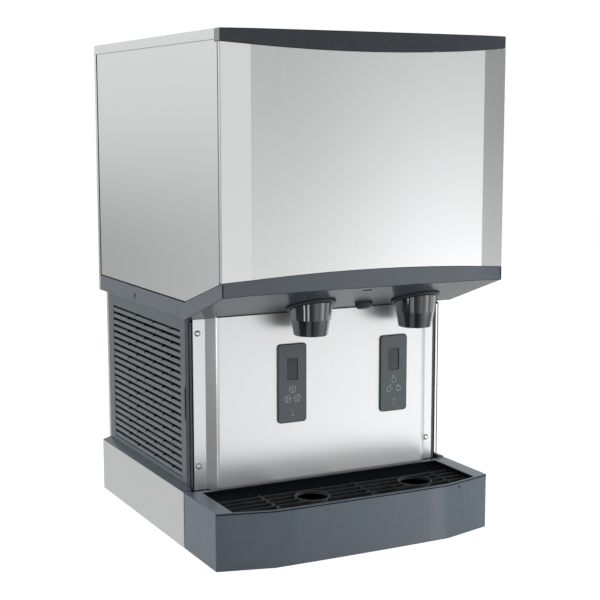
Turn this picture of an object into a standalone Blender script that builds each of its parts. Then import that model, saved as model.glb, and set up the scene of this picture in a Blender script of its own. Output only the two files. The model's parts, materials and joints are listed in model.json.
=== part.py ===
"""Countertop ice and water dispenser, built from separate pieces.

Metres, +Z up, the front looks along -Y, and the origin is under the middle of the machine's box.
A setback is a distance behind the plane of the upper cabinet's front corners.
"""

import math

import bmesh
import bpy
from mathutils import Vector

# The whole machine
WIDTH = 0.540
BODY_DEPTH = 0.609
HEIGHT = 0.886
BOW = 0.012
FACET_BOW = 0.0085
FACET_WIDTH = 0.049
SIDE_OVERHANG = 0.015

# Stock, clearances and fineness
SHEET = 0.0015
PLASTIC = 0.003
GAP = 0.0003
OVERRUN = 0.003
WELD = 0.000001
BOW_STEPS = 8
ROUND_STEPS = 24
SMALL_STEPS = 12
SMOOTH_ANGLE = math.radians(40)

# Upper cabinet
FRONT_RETURN = 0.008
TRIM_DEPTH = 0.020
TRIM_MID_HEIGHT = 0.0323
TRIM_RISE = 0.0118
COVER_FLANGE = 0.017
FASCIA_HEIGHT = 0.0344
FASCIA_FALL = 0.011
UNDERSIDE_RISE = 0.0556
UNDERSIDE_BACK = 0.407
KNEE_SETBACK = 0.160
SIDE_KNEE_SHIFT = 0.002
SIDE_TRIM_HEIGHT = 0.0294
BACK_FLANGE = 0.011
DECK_CLEARANCE = 0.0114
DECK_SHEET = 0.003

# Lower cabinet
SKIRT_HEIGHT = 0.100
SKIRT_FRONT_GAP = 0.0025
SKIRT_BACK_INSET = 0.003
LEDGE_LIP = 0.001
LEDGE_RISE = 0.0055
PAN_FRONT_GAP = 0.003
PAN_WALL = 0.002
PAN_WALL_HEIGHT = 0.020
PAN_FLOOR = 0.002
LOUVRE_FRONT_SHIFT = 0.0183
LOUVRE_THICKNESS = 0.006
LOUVRE_ROWS = 21
LOUVRE_FRONT_MARGIN = 0.0227
LOUVRE_BACK_MARGIN = 0.0277
LOUVRE_LOW_MARGIN = 0.0095
LOUVRE_TOP_MARGIN = 0.027
LOUVRE_SLOT_SHARE = 0.5
LOUVRE_LEAN = 0.003
LOUVRE_WEB = 0.003
LOUVRE_SPACING = 0.090
FILTER_THICKNESS = 0.008
FILTER_MARGIN = 0.003
FILTER_FRAME = 0.010
FILTER_ROWS = 6
FILTER_COLUMNS = 4
BACK_PANEL_LOW = 0.003
VENT_COUNT = 7
VENT_PITCH = 0.016
VENT_WIDTH = 0.006
VENT_LOW = 0.150
VENT_HEIGHT = 0.190

# Vend bay
SPLASH_BEND_WIDTH = 0.0165
SPLASH_FLANGE_WIDTH = 0.0225
SPLASH_SIDE_GAP = 0.0073
SPLASH_FLANGE_DEPTH = 0.017
SPLASH_FLANGE_DROP = 0.004
POST_CHAMFER = 0.007
POST_WIDTH = 0.027
SENSOR_WIDTH = 0.057
SENSOR_HEIGHT = 0.143
SENSOR_DROP = 0.057
SENSOR_RADIUS = 0.006
SENSOR_THICKNESS = 0.003
ICE_PLACE_SHARE = -0.315438
WATER_PLACE_SHARE = 0.691538
WINDOW_WIDTH = 0.022
WINDOW_HEIGHT = 0.041
WINDOW_DROP = 0.025
EYE_RECESS = 0.0012
EYE_DEPTH = 0.014
ICE_SPOUT_SHIFT = 0.0093
WATER_SPOUT_SHIFT = 0.0113
SPOUT_FORWARD = 0.0574
SPOUT_DROP = 0.0533
SPOUT_TIP_HEIGHT = 0.0239
SPOUT_TIP_RADIUS = 0.0303
SPOUT_BREAK_RADIUS = 0.0352
SPOUT_TOP_RADIUS = 0.0372
SPOUT_FLANGE_RADIUS = 0.0442
SPOUT_FLANGE_THICKNESS = 0.005
SPOUT_NECK_RADIUS = 0.027
SPOUT_WALL = 0.004
LIGHT_SHIFT = 0.0134
LIGHT_FORWARD = 0.033
LIGHT_HALF_WIDTH = 0.018
LIGHT_HALF_DEPTH_SHARE = 0.6
LIGHT_THICKNESS = 0.010
LIGHT_STEM_SHARE = 0.6
LIGHT_STEM = 0.008

# Drip tray
TRAY_CORNER_SETBACK = 0.0345
TRAY_FACET_WIDTH = 0.098
TRAY_BEND_SETBACK = 0.008
TRAY_BOW = 0.002
TRAY_BACK_SHIFT = 0.012
TRAY_SIDE_RIM = 0.030
TRAY_FRONT_RIM = 0.004
BASIN_BACK_SHIFT = 0.002
BASIN_FLOOR = 0.045
BASIN_STEP = 0.006
GRILLE_THICKNESS = 0.007
GRILLE_DROP = 0.007
GRILLE_ROWS = 11
GRILLE_BORDER = 0.004
GRILLE_BAR = 0.004
GRILLE_RIB_HALF_WIDTH = 0.002
GRILLE_RIB_SHARES = (-0.626, 0.1585, 0.834)
CUP_OUTER = 0.032
CUP_INNER = 0.027
CUP_FORWARD = 0.080

# Ice bin and agitator
BIN_VALVE_GAP = 0.0341
BIN_FRONT = 0.025
BIN_DEPTH = 0.320
BIN_HEADROOM = 0.086
BIN_WALL = 0.004
LID_THICKNESS = 0.004
AGITATOR_SPOUT_GAP = 0.005
AGITATOR_ARMS = 6
AGITATOR_HUB = 0.026
AGITATOR_WALL_GAP = 0.013
AGITATOR_ARM_WIDTH = 0.014
AGITATOR_ARM_HEIGHT = 0.014
AGITATOR_CLEARANCE = 0.001
AGITATOR_SHAFT = 0.006
AGITATOR_MAST = 0.009
MAST_ABOVE_STIRRER = 0.040
STIRRER_PLACE_SHARE = 0.3725
STIRRER_INSET = 0.045
STIRRER_HALF = 0.006
AGITATOR_MOTOR_RADIUS = 0.032
AGITATOR_MOTOR_HEIGHT = 0.0537
AGITATOR_SOCKET = 0.030

# Ice maker
AUGER_SIDE_ROOM = 0.125
AUGER_PLACE_SHARE = 0.3273
AUGER_SHAFT = 0.008
FLIGHT_CLEARANCE = 0.001
FLIGHT_MARGIN = 0.010
AUGER_TURNS = 5
AUGER_SIDES = 10
GEAR_MODULE = 0.003
GEAR_TEETH = 40
PINION_TEETH = 12
GEAR_LIFT = 0.008
GEAR_THICKNESS = 0.018
PINION_SHAFT = 0.005
TIP_SHARE = 0.8
ROOT_SHARE = 1.2
TOOTH_BASE_SHARE = 0.62
TOOTH_TIP_SHARE = 0.26
RUNNING_CLEARANCE = 0.0005
GEARCASE_CLEARANCE = 0.0036
GEARCASE_MOTOR_MARGIN = 0.003
GEARCASE_HEIGHT = 0.044
GEARCASE_WALL = 0.004
EVAPORATOR_WALL = 0.0135
EVAPORATOR_BORE = 0.0265
MAKER_HEADROOM = 0.1261
HEAD_RADIUS = 0.036
HEAD_HEIGHT = 0.038
HEAD_TAPER = 0.010
AUGER_MOTOR_RADIUS = 0.033
AUGER_MOTOR_HEIGHT = 0.120
MOTOR_SOCKET = 0.030
ICE_TUBE_RADIUS = 0.014
ICE_TUBE_SPACING = 0.0865
ICE_TUBE_HEADROOM = 0.041
ICE_TUBE_END_INSET = 0.045
ICE_TUBE_DIP = 0.010
TUBE_BEND = 0.030

# Water reservoir
RESERVOIR_WIDTH = 0.100
RESERVOIR_SIDE_SHARE = 0.2273
RESERVOIR_LENGTH = 0.100
RESERVOIR_PLACE_SHARE = 0.3391
RESERVOIR_LEGS = 0.1427
RESERVOIR_DEPTH = 0.080
RESERVOIR_WALL = 0.0025
RESERVOIR_LEG = 0.012
FLOAT_AXIS_INSET = 0.009
FLOAT_AXIS_DROP = 0.010
EAR_THICKNESS = 0.003
EAR_SPAN = 0.008
EAR_REACH = 0.017
EAR_HEIGHT = 0.018
PIN_RADIUS = 0.0018
PIN_HOLE = 0.0023
FLOAT_ROOM = 0.022
ARM_HALF = 0.0018
FLOAT_HALF = 0.015
FLOAT_HEIGHT = 0.020

# Controls
BOX_SIDE_ROOM = 0.015
BOX_WIDTH = 0.105
BOX_FRONT_GAP = 0.035
BOX_BACK_ROOM = 0.049
BOX_HEIGHT = 0.1227
BOARD_MARGIN = 0.004
BOARD_RAIL = 0.008
BOARD_THICKNESS = 0.0016
CHIP_HEIGHT = 0.012
CHIP_HALF = 0.012
CHIP_SHARES = (0.25, 0.5, 0.75)
SWITCH_SIDE_ROOM = 0.075
SWITCH_HALF_WIDTH = 0.032
SWITCH_ABOVE_DECK = 0.0827
SWITCH_HALF_HEIGHT = 0.017
SWITCH_DEPTH = 0.024
ROCKER_SHIFT = 0.013
ROCKER_HALF_WIDTH = 0.007
ROCKER_HALF_HEIGHT = 0.011
ROCKER_END_GAP = 0.0017
ROCKER_AXIS_DEPTH = 0.010
ROCKER_DISH = 0.0035
ROCKER_RIM = 0.002
ROCKER_BACK = 0.014
ROCKER_BACK_HALF = 0.004
ROCKER_SLOT_DEPTH = 0.018
BUTTON_SHIFT = 0.016
BUTTON_RADIUS = 0.006
BUTTON_PROUD = 0.001
BUTTON_LENGTH = 0.013
BUTTON_SOCKET = 0.019
VALVE_HALF_WIDTH = 0.020
VALVE_HALF_DEPTH = 0.018
VALVE_HEIGHT = 0.022
VALVE_SPIGOT = 0.006
VALVE_SPIGOT_DROP = 0.044
COIL_RADIUS = 0.014
COIL_HEIGHT = 0.0677

# Cooling
COMPRESSOR_BACK_ROOM = 0.139
COMPRESSOR_RADIUS = 0.062
COMPRESSOR_TOP = 0.190
COMPRESSOR_NECK = 0.045
COMPRESSOR_SHOULDER = 0.026
COMPRESSOR_FOOT_X = 0.085
COMPRESSOR_FOOT_Y = 0.064
COMPRESSOR_FOOT_HEIGHT = 0.006
CONDENSER_SIDE_ROOM = 0.033
CONDENSER_THICKNESS = 0.032
CONDENSER_SPINE = 0.008
CONDENSER_FRONT = 0.235
CONDENSER_BACK_ROOM = 0.054
CONDENSER_TOP = 0.360
CONDENSER_FINS = 20
SHROUD_DEPTH = 0.030
SHROUD_WALL = 0.002
FAN_CLEARANCE = 0.007
FAN_HEIGHT = 0.190
FAN_RADIUS = 0.098
FAN_BLADES = 5
FAN_HUB = 0.020
FAN_HUB_LENGTH = 0.024
FAN_HUB_INSET = 0.008
BLADE_THICKNESS = 0.002
BLADE_ROOT_CHORD = 0.030
BLADE_TIP_CHORD = 0.062
BLADE_ROOT_PITCH = math.radians(38)
BLADE_TIP_PITCH = math.radians(17)
FAN_SHAFT = 0.004
FAN_SHAFT_LENGTH = 0.030
FAN_MOTOR_RADIUS = 0.036
FAN_MOTOR_LENGTH = 0.060
FAN_SOCKET = 0.014
FAN_FOOT_HALF = 0.030
FAN_FOOT_THICKNESS = 0.003
FAN_STALK_HALF = 0.012
LINE_RADIUS = 0.004
LINE_BEND = 0.015
LINE_BACK_ROOM = 0.029
LINE_START_DROP = 0.040
LINE_END_DROP = 0.030
SUCTION_RISE = 0.040
SUCTION_PLACE_SHARE = 0.592

# Rear fittings
PORT_SIDE_ROOM = 0.105
PORT_SPACING = 0.080
PORT_Z = 0.065
PORT_RADIUS = 0.009
PORT_BORE = 0.006
PORT_LENGTH = 0.034
PORT_INSET = 0.0005
PORT_PLATE_MARGIN = 0.020
PORT_PLATE_HALF_HEIGHT = 0.020
GLAND_SIDE_ROOM = 0.055
GLAND_Z = 0.065
GLAND_NUT = 0.014
GLAND_RADIUS = 0.010
GLAND_BORE = 0.0045
GLAND_LENGTH = 0.020

# Places across the machine, worked out from the sizes above
HALF = WIDTH / 2
LOWER_HALF = HALF - SIDE_OVERHANG
BEND_X = HALF - FACET_WIDTH
TRAY_BEND_HALF = HALF - TRAY_FACET_WIDTH
POST_INNER_HALF = LOWER_HALF - POST_WIDTH
SPLASH_FLANGE_HALF = LOWER_HALF - SPLASH_SIDE_GAP
SPLASH_RETURN_HALF = SPLASH_FLANGE_HALF - SPLASH_FLANGE_WIDTH
SPLASH_HALF = SPLASH_RETURN_HALF - SPLASH_BEND_WIDTH
ICE_SENSOR_X = SPLASH_HALF * ICE_PLACE_SHARE
WATER_SENSOR_X = SPLASH_HALF * WATER_PLACE_SHARE
ICE_X = ICE_SENSOR_X + ICE_SPOUT_SHIFT
WATER_X = WATER_SENSOR_X + WATER_SPOUT_SHIFT
LIGHT_X = (ICE_X + WATER_X) / 2 + LIGHT_SHIFT
CUP_PLACES = (ICE_SENSOR_X, WATER_SENSOR_X)
BIN_HALF_WIDTH = WATER_X - ICE_X - VALVE_HALF_WIDTH - BIN_VALVE_GAP
GEAR_CENTRES = GEAR_MODULE * (GEAR_TEETH + PINION_TEETH) / 2
GEARCASE_ROUND = GEAR_MODULE * (GEAR_TEETH / 2 + TIP_SHARE) + GEARCASE_WALL + GEARCASE_CLEARANCE
GEARCASE_SMALL_ROUND = AUGER_MOTOR_RADIUS + GEARCASE_MOTOR_MARGIN
AUGER_X = LOWER_HALF - AUGER_SIDE_ROOM
AUGER_FLIGHT = EVAPORATOR_BORE - FLIGHT_CLEARANCE
EVAPORATOR_RADIUS = EVAPORATOR_BORE + EVAPORATOR_WALL
MOTOR_X = AUGER_X + GEAR_CENTRES
ICE_TUBE_X = AUGER_X - ICE_TUBE_SPACING
BOX_OUTER = HALF - BOX_SIDE_ROOM
BOX_INNER = BOX_OUTER - BOX_WIDTH
RESERVOIR_ROOM = BOX_INNER + AUGER_X - GEARCASE_ROUND - RESERVOIR_WIDTH
RESERVOIR_LEFT = RESERVOIR_ROOM * RESERVOIR_SIDE_SHARE - BOX_INNER
RESERVOIR_RIGHT = RESERVOIR_LEFT + RESERVOIR_WIDTH
FLOAT_X = (RESERVOIR_LEFT + RESERVOIR_RIGHT) / 2
SWITCH_X = SWITCH_SIDE_ROOM - HALF
ROCKER_X = SWITCH_X - ROCKER_SHIFT
BUTTON_X = SWITCH_X + BUTTON_SHIFT
CONDENSER_OUTER = LOWER_HALF - CONDENSER_SIDE_ROOM
SHROUD_OUTER = CONDENSER_OUTER - CONDENSER_THICKNESS - GAP
SHROUD_FACE = SHROUD_OUTER - SHROUD_DEPTH
SHROUD_HOLE = FAN_RADIUS + FAN_CLEARANCE
FAN_X = -(SHROUD_FACE + FAN_HUB_INSET)
FAN_HUB_END = FAN_X + FAN_HUB_LENGTH
DRAIN_X = LOWER_HALF - PORT_SIDE_ROOM
INLET_X = DRAIN_X - PORT_SPACING
GLAND_X = GLAND_SIDE_ROOM - LOWER_HALF

# Setbacks, from front to back
CORNER_Y = (BOW - BODY_DEPTH) / 2
BACK_Y = CORNER_Y + BODY_DEPTH
REAR_SETBACK = BODY_DEPTH - BACK_FLANGE - GAP
BACK_INNER_SETBACK = BODY_DEPTH - SHEET - GAP
SIDE_KNEE_SETBACK = KNEE_SETBACK + SIDE_KNEE_SHIFT
SPLASH_SETBACK = KNEE_SETBACK
SPLASH_FLANGE_SETBACK = SPLASH_SETBACK + SPLASH_FLANGE_DEPTH
POST_FRONT = SPLASH_FLANGE_SETBACK + SHEET + GAP
LOUVRE_FRONT = SPLASH_FLANGE_SETBACK + LOUVRE_FRONT_SHIFT
POST_BACK = LOUVRE_FRONT - GAP
LOUVRE_FIELD_FRONT = LOUVRE_FRONT + LOUVRE_FRONT_MARGIN
LOUVRE_FIELD_BACK = REAR_SETBACK - LOUVRE_BACK_MARGIN
TRAY_BACK = SPLASH_SETBACK + TRAY_BACK_SHIFT
BASIN_BACK = SPLASH_SETBACK - BASIN_BACK_SHIFT
SKIRT_FRONT = TRAY_BACK + SKIRT_FRONT_GAP
SKIRT_BACK = BODY_DEPTH - SKIRT_BACK_INSET
PAN_FRONT = TRAY_BACK + PAN_FRONT_GAP
SPOUT_SETBACK = SPLASH_SETBACK - SPOUT_FORWARD
LIGHT_SETBACK = SPLASH_SETBACK - LIGHT_FORWARD
CUP_SETBACK = SPLASH_SETBACK - CUP_FORWARD
BIN_BACK = BIN_FRONT + BIN_DEPTH
BEHIND_SPOUT = SPOUT_SETBACK + SPOUT_NECK_RADIUS + AGITATOR_SPOUT_GAP + AGITATOR_MOTOR_RADIUS
AGITATOR_SETBACK = max((BIN_FRONT + BIN_BACK) / 2, BEHIND_SPOUT)
BIN_REACH = min(BIN_HALF_WIDTH, AGITATOR_SETBACK - BIN_FRONT, BIN_BACK - AGITATOR_SETBACK)
AGITATOR_REACH = BIN_REACH - AGITATOR_WALL_GAP
STIRRER_REACH = AGITATOR_REACH - STIRRER_INSET
REAR_ROOM = BACK_INNER_SETBACK - BIN_BACK
AUGER_SETBACK = BIN_BACK + GEARCASE_ROUND + AUGER_PLACE_SHARE * (REAR_ROOM - 2 * GEARCASE_ROUND)
ICE_TUBE_END_SETBACK = BIN_BACK - ICE_TUBE_END_INSET
RESERVOIR_FRONT = BIN_BACK + RESERVOIR_PLACE_SHARE * (REAR_ROOM - RESERVOIR_LENGTH)
RESERVOIR_BACK = RESERVOIR_FRONT + RESERVOIR_LENGTH
FLOAT_AXIS_SETBACK = RESERVOIR_BACK - RESERVOIR_WALL - FLOAT_AXIS_INSET
BOX_FRONT = BIN_BACK + BOX_FRONT_GAP
BOX_BACK = BODY_DEPTH - BOX_BACK_ROOM
COMPRESSOR_SETBACK = BODY_DEPTH - COMPRESSOR_BACK_ROOM
CONDENSER_BACK = BODY_DEPTH - CONDENSER_BACK_ROOM
FAN_SETBACK = (CONDENSER_FRONT + CONDENSER_BACK) / 2
LINE_BACK = BODY_DEPTH - LINE_BACK_ROOM
SUCTION_SETBACK = (AUGER_SETBACK + GEARCASE_ROUND + BACK_INNER_SETBACK) / 2

# Heights, from the foot up
LEDGE_TOP = SKIRT_HEIGHT + LEDGE_RISE
PAN_TOP = PAN_FLOOR + GAP
TRAY_TOP = SKIRT_HEIGHT
GRILLE_TOP = TRAY_TOP - GRILLE_DROP
LOUVRE_FIELD_LOW = LEDGE_TOP + LOUVRE_LOW_MARGIN
LOUVRE_FIELD_HIGH = UNDERSIDE_BACK - LOUVRE_TOP_MARGIN
SPLASH_FLANGE_TOP = UNDERSIDE_BACK - SPLASH_FLANGE_DROP
SENSOR_HIGH = UNDERSIDE_BACK - SENSOR_DROP
SENSOR_LOW = SENSOR_HIGH - SENSOR_HEIGHT
WINDOW_HIGH = SENSOR_HIGH - WINDOW_DROP
WINDOW_LOW = WINDOW_HIGH - WINDOW_HEIGHT
VENT_HIGH = VENT_LOW + VENT_HEIGHT
LINE_LOW = COMPRESSOR_TOP - LINE_START_DROP
LINE_HIGH = CONDENSER_TOP - LINE_END_DROP
SIDE_LOW = UNDERSIDE_BACK + SIDE_TRIM_HEIGHT
UNDERSIDE_FRONT = UNDERSIDE_BACK + UNDERSIDE_RISE
FASCIA_TOP = UNDERSIDE_FRONT + FASCIA_HEIGHT
FASCIA_END = FASCIA_TOP - FASCIA_FALL
TRIM_END = HEIGHT - TRIM_MID_HEIGHT + TRIM_RISE
DECK_HEIGHT = UNDERSIDE_FRONT + DECK_CLEARANCE
DECK_TOP = DECK_HEIGHT + DECK_SHEET
ON_DECK = DECK_TOP + GAP
BIN_FLOOR = ON_DECK + BIN_WALL
BIN_TOP = HEIGHT - BIN_HEADROOM
STIRRER_HEIGHT = BIN_FLOOR + STIRRER_PLACE_SHARE * (BIN_TOP - BIN_FLOOR)
AGITATOR_TOP = STIRRER_HEIGHT + MAST_ABOVE_STIRRER
AGITATOR_MOTOR_TOP = DECK_HEIGHT - GAP
AGITATOR_MOTOR_LOW = AGITATOR_MOTOR_TOP - AGITATOR_MOTOR_HEIGHT
VALVE_SPIGOT_LOW = DECK_HEIGHT - VALVE_SPIGOT_DROP
COIL_TOP = ON_DECK + COIL_HEIGHT
GEARCASE_TOP = ON_DECK + GEARCASE_HEIGHT
ON_GEARCASE = GEARCASE_TOP + GAP
HEAD_LOW = HEIGHT - MAKER_HEADROOM - HEAD_HEIGHT
EVAPORATOR_TOP = HEAD_LOW - GAP
SUCTION_TOP = ON_GEARCASE + SUCTION_PLACE_SHARE * (EVAPORATOR_TOP - ON_GEARCASE)
ICE_TUBE_TOP = HEIGHT - ICE_TUBE_HEADROOM
RESERVOIR_FLOOR = ON_DECK + RESERVOIR_LEGS
RESERVOIR_TOP = RESERVOIR_FLOOR + RESERVOIR_DEPTH
FLOAT_AXIS_Z = RESERVOIR_TOP - FLOAT_AXIS_DROP
BOX_TOP = ON_DECK + BOX_HEIGHT
SWITCH_Z = ON_DECK + SWITCH_ABOVE_DECK
ROCKER_SLOT_HALF_HEIGHT = ROCKER_HALF_HEIGHT + ROCKER_END_GAP

# Slopes
UNDERSIDE_SLOPE = (UNDERSIDE_FRONT - UNDERSIDE_BACK) / KNEE_SETBACK
SIDE_SLOPE = (FASCIA_END - SIDE_LOW) / SIDE_KNEE_SETBACK
SLOPE_STRETCH = math.hypot(1, UNDERSIDE_SLOPE)
TRAY_SLOPE = (TRAY_CORNER_SETBACK - TRAY_BEND_SETBACK) / TRAY_FACET_WIDTH

# Finishes: colour, roughness, metallic
STEEL = ((0.68, 0.69, 0.70), 0.32, 1.0)
GREY_PLASTIC = ((0.105, 0.135, 0.150), 0.42, 0.0)
DARK_PLASTIC = ((0.040, 0.052, 0.058), 0.35, 0.0)
BLACK_PLASTIC = ((0.012, 0.015, 0.018), 0.28, 0.0)
PALE_PLASTIC = ((0.72, 0.74, 0.76), 0.45, 0.0)
GREY_LENS = ((0.17, 0.20, 0.21), 0.15, 0.0)
GALVANISED = ((0.55, 0.57, 0.58), 0.45, 1.0)
COPPER = ((0.72, 0.36, 0.22), 0.35, 1.0)
GEAR_STEEL = ((0.45, 0.45, 0.46), 0.38, 1.0)
BLACK_PAINT = ((0.020, 0.020, 0.022), 0.40, 0.0)
ALUMINIUM = ((0.75, 0.76, 0.78), 0.42, 1.0)
BOARD_GREEN = ((0.03, 0.16, 0.07), 0.50, 0.0)


def at(setback):
    """The Y of a setback."""
    return CORNER_Y + setback


def on_axis(axis, along, first, second):
    """A point from its distance along an axis and its other two coordinates, in X, Y, Z order."""
    if axis == "X":
        return (along, first, second)
    if axis == "Y":
        return (first, along, second)
    return (first, second, along)


def ring_of(points):
    """Each point with the one after it, round to the first again."""
    return zip(points, points[1:] + points[:1])


# Mesh building

def lofted(sections):
    """A closed body through sections that have the same number of points."""
    bm = bmesh.new()
    rings = [[bm.verts.new(point) for point in section] for section in sections]
    for here, there in zip(rings, rings[1:]):
        for (a, b), (c, d) in zip(ring_of(here), ring_of(there)):
            bm.faces.new((a, b, d, c))
    bm.faces.new(rings[0][::-1])
    bm.faces.new(rings[-1])
    return bm


def prism(outline, axis, start, end):
    """An outline carried along an axis."""
    return lofted([[on_axis(axis, along, a, b) for a, b in outline] for along in (start, end)])


def block(low, high):
    """A box from its low corner to its high corner."""
    outline = [(low[0], low[1]), (high[0], low[1]), (high[0], high[1]), (low[0], high[1])]
    return prism(outline, "Z", low[2], high[2])


def turned(profile, axis, centre, steps=ROUND_STEPS, stretch=1, slope=0):
    """A profile of (radius, along) turned round an axis.

    A profile that starts away from the axis closes on itself, as a ring's does. Points that carry a
    third value lean with the slope behind the centre. A stretch narrows or widens the second direction.
    """
    bm = bmesh.new()
    rings = []
    for radius, along, *leans in profile:
        ring = []
        for step in range(steps if radius else 1):
            angle = 2 * math.pi * step / steps
            across, behind = radius * math.cos(angle), radius * stretch * math.sin(angle)
            drop = slope * behind if leans else 0
            ring.append(bm.verts.new(on_axis(axis, along - drop, centre[0] + across, centre[1] + behind)))
        rings.append(ring)
    if profile[0][0]:
        rings.append(rings[0])
    for here, there in zip(rings, rings[1:]):
        for step in range(steps):
            corners = [here[step % len(here)], here[(step + 1) % len(here)],
                       there[(step + 1) % len(there)], there[step % len(there)]]
            bm.faces.new(list(dict.fromkeys(corners)))
    return bm


def slotted(u_range, v_range, rows, axis, start, end, lean=0):
    """A plate with rows of slots. A row is (v_low, v_high, [(u_low, u_high), ...]) from low to high."""
    bm = bmesh.new()
    sides = []
    for along, shift in ((start, 0), (end, lean)):
        def line(v, slots, moved):
            places = [u_range[0]] + [u for slot in slots for u in slot] + [u_range[1]]
            return [bm.verts.new(on_axis(axis, along, u, v + moved)) for u in places]
        lines = [line(v_range[0], [], 0)]
        for v_low, v_high, slots in rows:
            lines += [line(v_low, slots, shift), line(v_high, slots, shift)]
        lines.append(line(v_range[1], [], 0))
        sides.append(lines)
        for low, high in zip(lines[0::2], lines[1::2]):
            bm.faces.new(low + high[::-1])
        for low, high in zip(lines[1::2], lines[2::2]):
            for left in range(0, len(low), 2):
                bm.faces.new((low[left], low[left + 1], high[left + 1], high[left]))
    near, far = sides
    for here, there in zip(near, far):
        row_end = here is near[0] or here is near[-1]
        for left in range(0 if row_end else 1, len(here) - 1, 1 if row_end else 2):
            bm.faces.new((here[left], here[left + 1], there[left + 1], there[left]))
    for low, high, far_low, far_high in zip(near, near[1:], far, far[1:]):
        for place in (0, -1):
            bm.faces.new((low[place], high[place], far_high[place], far_low[place]))
    for low, high, far_low, far_high in zip(near[1::2], near[2::2], far[1::2], far[2::2]):
        for place in range(1, len(low) - 1):
            bm.faces.new((low[place], high[place], far_high[place], far_low[place]))
    return bm


def piped(points, radius, sides=8):
    """A round rod along a route, each ring square to the route, with flat ends."""
    bm = bmesh.new()
    route = [Vector(point) for point in points]
    sideways = None
    rings = []
    for index, point in enumerate(route):
        before = route[max(index - 1, 0)]
        after = route[min(index + 1, len(route) - 1)]
        forward = (after - before).normalized()
        if sideways is None:
            sideways = forward.orthogonal().normalized()
        sideways = (sideways - forward * sideways.dot(forward)).normalized()
        other = forward.cross(sideways)
        angles = [2 * math.pi * side / sides for side in range(sides)]
        rings.append([bm.verts.new(point + radius * (math.cos(t) * sideways + math.sin(t) * other))
                      for t in angles])
    for here, there in zip(rings, rings[1:]):
        for (a, b), (c, d) in zip(ring_of(here), ring_of(there)):
            bm.faces.new((a, b, d, c))
    bm.faces.new(rings[0][::-1])
    bm.faces.new(rings[-1])
    return bm


def rounded_route(corners, bend, steps=4):
    """A route through corners, each one rounded off over the bend's length."""
    corners = [Vector(corner) for corner in corners]
    route = [corners[0]]
    for before, corner, after in zip(corners, corners[1:], corners[2:]):
        start = corner + (before - corner).normalized() * bend
        end = corner + (after - corner).normalized() * bend
        for step in range(steps + 1):
            share = step / steps
            route.append(start.lerp(corner, share).lerp(corner.lerp(end, share), share))
    return route + [corners[-1]]


# Objects, cuts and joins

def link(name, bm, origin=None):
    """An object from a mesh in world places, its origin at the given point or at its middle."""
    bmesh.ops.remove_doubles(bm, verts=bm.verts, dist=WELD)
    bmesh.ops.recalc_face_normals(bm, faces=bm.faces)
    if origin is None:
        places = [vert.co for vert in bm.verts]
        origin = [(min(p[i] for p in places) + max(p[i] for p in places)) / 2 for i in range(3)]
    bmesh.ops.translate(bm, verts=bm.verts, vec=[-value for value in origin])
    mesh = bpy.data.meshes.new(name)
    bm.to_mesh(mesh)
    bm.free()
    item = bpy.data.objects.new(name, mesh)
    item.location = origin
    bpy.context.scene.collection.objects.link(item)
    return item


def make_material(name, finish):
    colour, roughness, metallic = finish
    material = bpy.data.materials.new(name)
    material.use_nodes = True
    shader = material.node_tree.nodes["Principled BSDF"]
    shader.inputs["Base Color"].default_value = (*colour, 1)
    shader.inputs["Roughness"].default_value = roughness
    shader.inputs["Metallic"].default_value = metallic
    return material


def piece(name, bm, finish, group, origin=None, smooth=False):
    """A named piece of the machine, with a material of its own, in its group."""
    item = link(name, bm, origin)
    item.data.materials.append(make_material(name + "_finish", finish))
    if smooth:
        item.data.shade_smooth()
        item.data.set_sharp_from_angle(angle=SMOOTH_ANGLE)
    item.parent = group
    return item


def combine(item, bm, operation):
    """Adds a Boolean with a hidden guide body."""
    guide = link(f"{item.name}_guide_{len(item.modifiers)}", bm)
    guide.hide_render = True
    guide.display_type = "WIRE"
    modifier = item.modifiers.new(guide.name, "BOOLEAN")
    modifier.operation = operation
    modifier.solver = "EXACT"
    modifier.object = guide
    return guide


def cut(item, bm):
    return combine(item, bm, "DIFFERENCE")


def fuse(item, bm):
    return combine(item, bm, "UNION")


def group(name):
    """An empty that the pieces of one assembly hang from."""
    empty = bpy.data.objects.new(name, None)
    bpy.context.scene.collection.objects.link(empty)
    return empty


# The front's shared curves

def bow_at(x):
    """The Y of the upper front at a place across it: side facets, and a gentle bow between them."""
    across = abs(x)
    if across >= BEND_X:
        return CORNER_Y - FACET_BOW * (HALF - across) / FACET_WIDTH
    return CORNER_Y - FACET_BOW - (BOW - FACET_BOW) * (1 - (across / BEND_X) ** 2)


def fascia_top(x):
    return FASCIA_TOP - FASCIA_FALL * (x / HALF) ** 2


def trim_bottom(x):
    return HEIGHT - TRIM_MID_HEIGHT + TRIM_RISE * (x / HALF) ** 2


def underside(setback):
    return UNDERSIDE_FRONT - UNDERSIDE_SLOPE * setback


def side_low(setback):
    return FASCIA_END - SIDE_SLOPE * setback


def front_stations(inset=0):
    """Places across the front: its ends, its bends and steps along the bow."""
    end = HALF - inset
    bow = [BEND_X * (2 * step / BOW_STEPS - 1) for step in range(BOW_STEPS + 1)]
    return [-end] + bow + [end]


def wrapped_sheet(path, thickness):
    """A sheet that follows a plan path. A path point is (x, y, z_low, z_high), and the wall is behind."""
    plan = [Vector(point[:2]) for point in path]
    sections = []
    for index, (x, y, low, high) in enumerate(path):
        runs = [plan[min(index + k + 1, len(plan) - 1)] - plan[max(index + k, 0)] for k in (-1, 0)]
        normals = [Vector((-run.y, run.x)).normalized() for run in runs if run.length > 0]
        middle = sum(normals, Vector((0, 0))).normalized()
        inner = plan[index] + middle * thickness / middle.dot(normals[0])
        sections.append([(x, y, low), (x, y, high), (inner.x, inner.y, high), (inner.x, inner.y, low)])
    return lofted(sections)


# Upper cabinet

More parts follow.
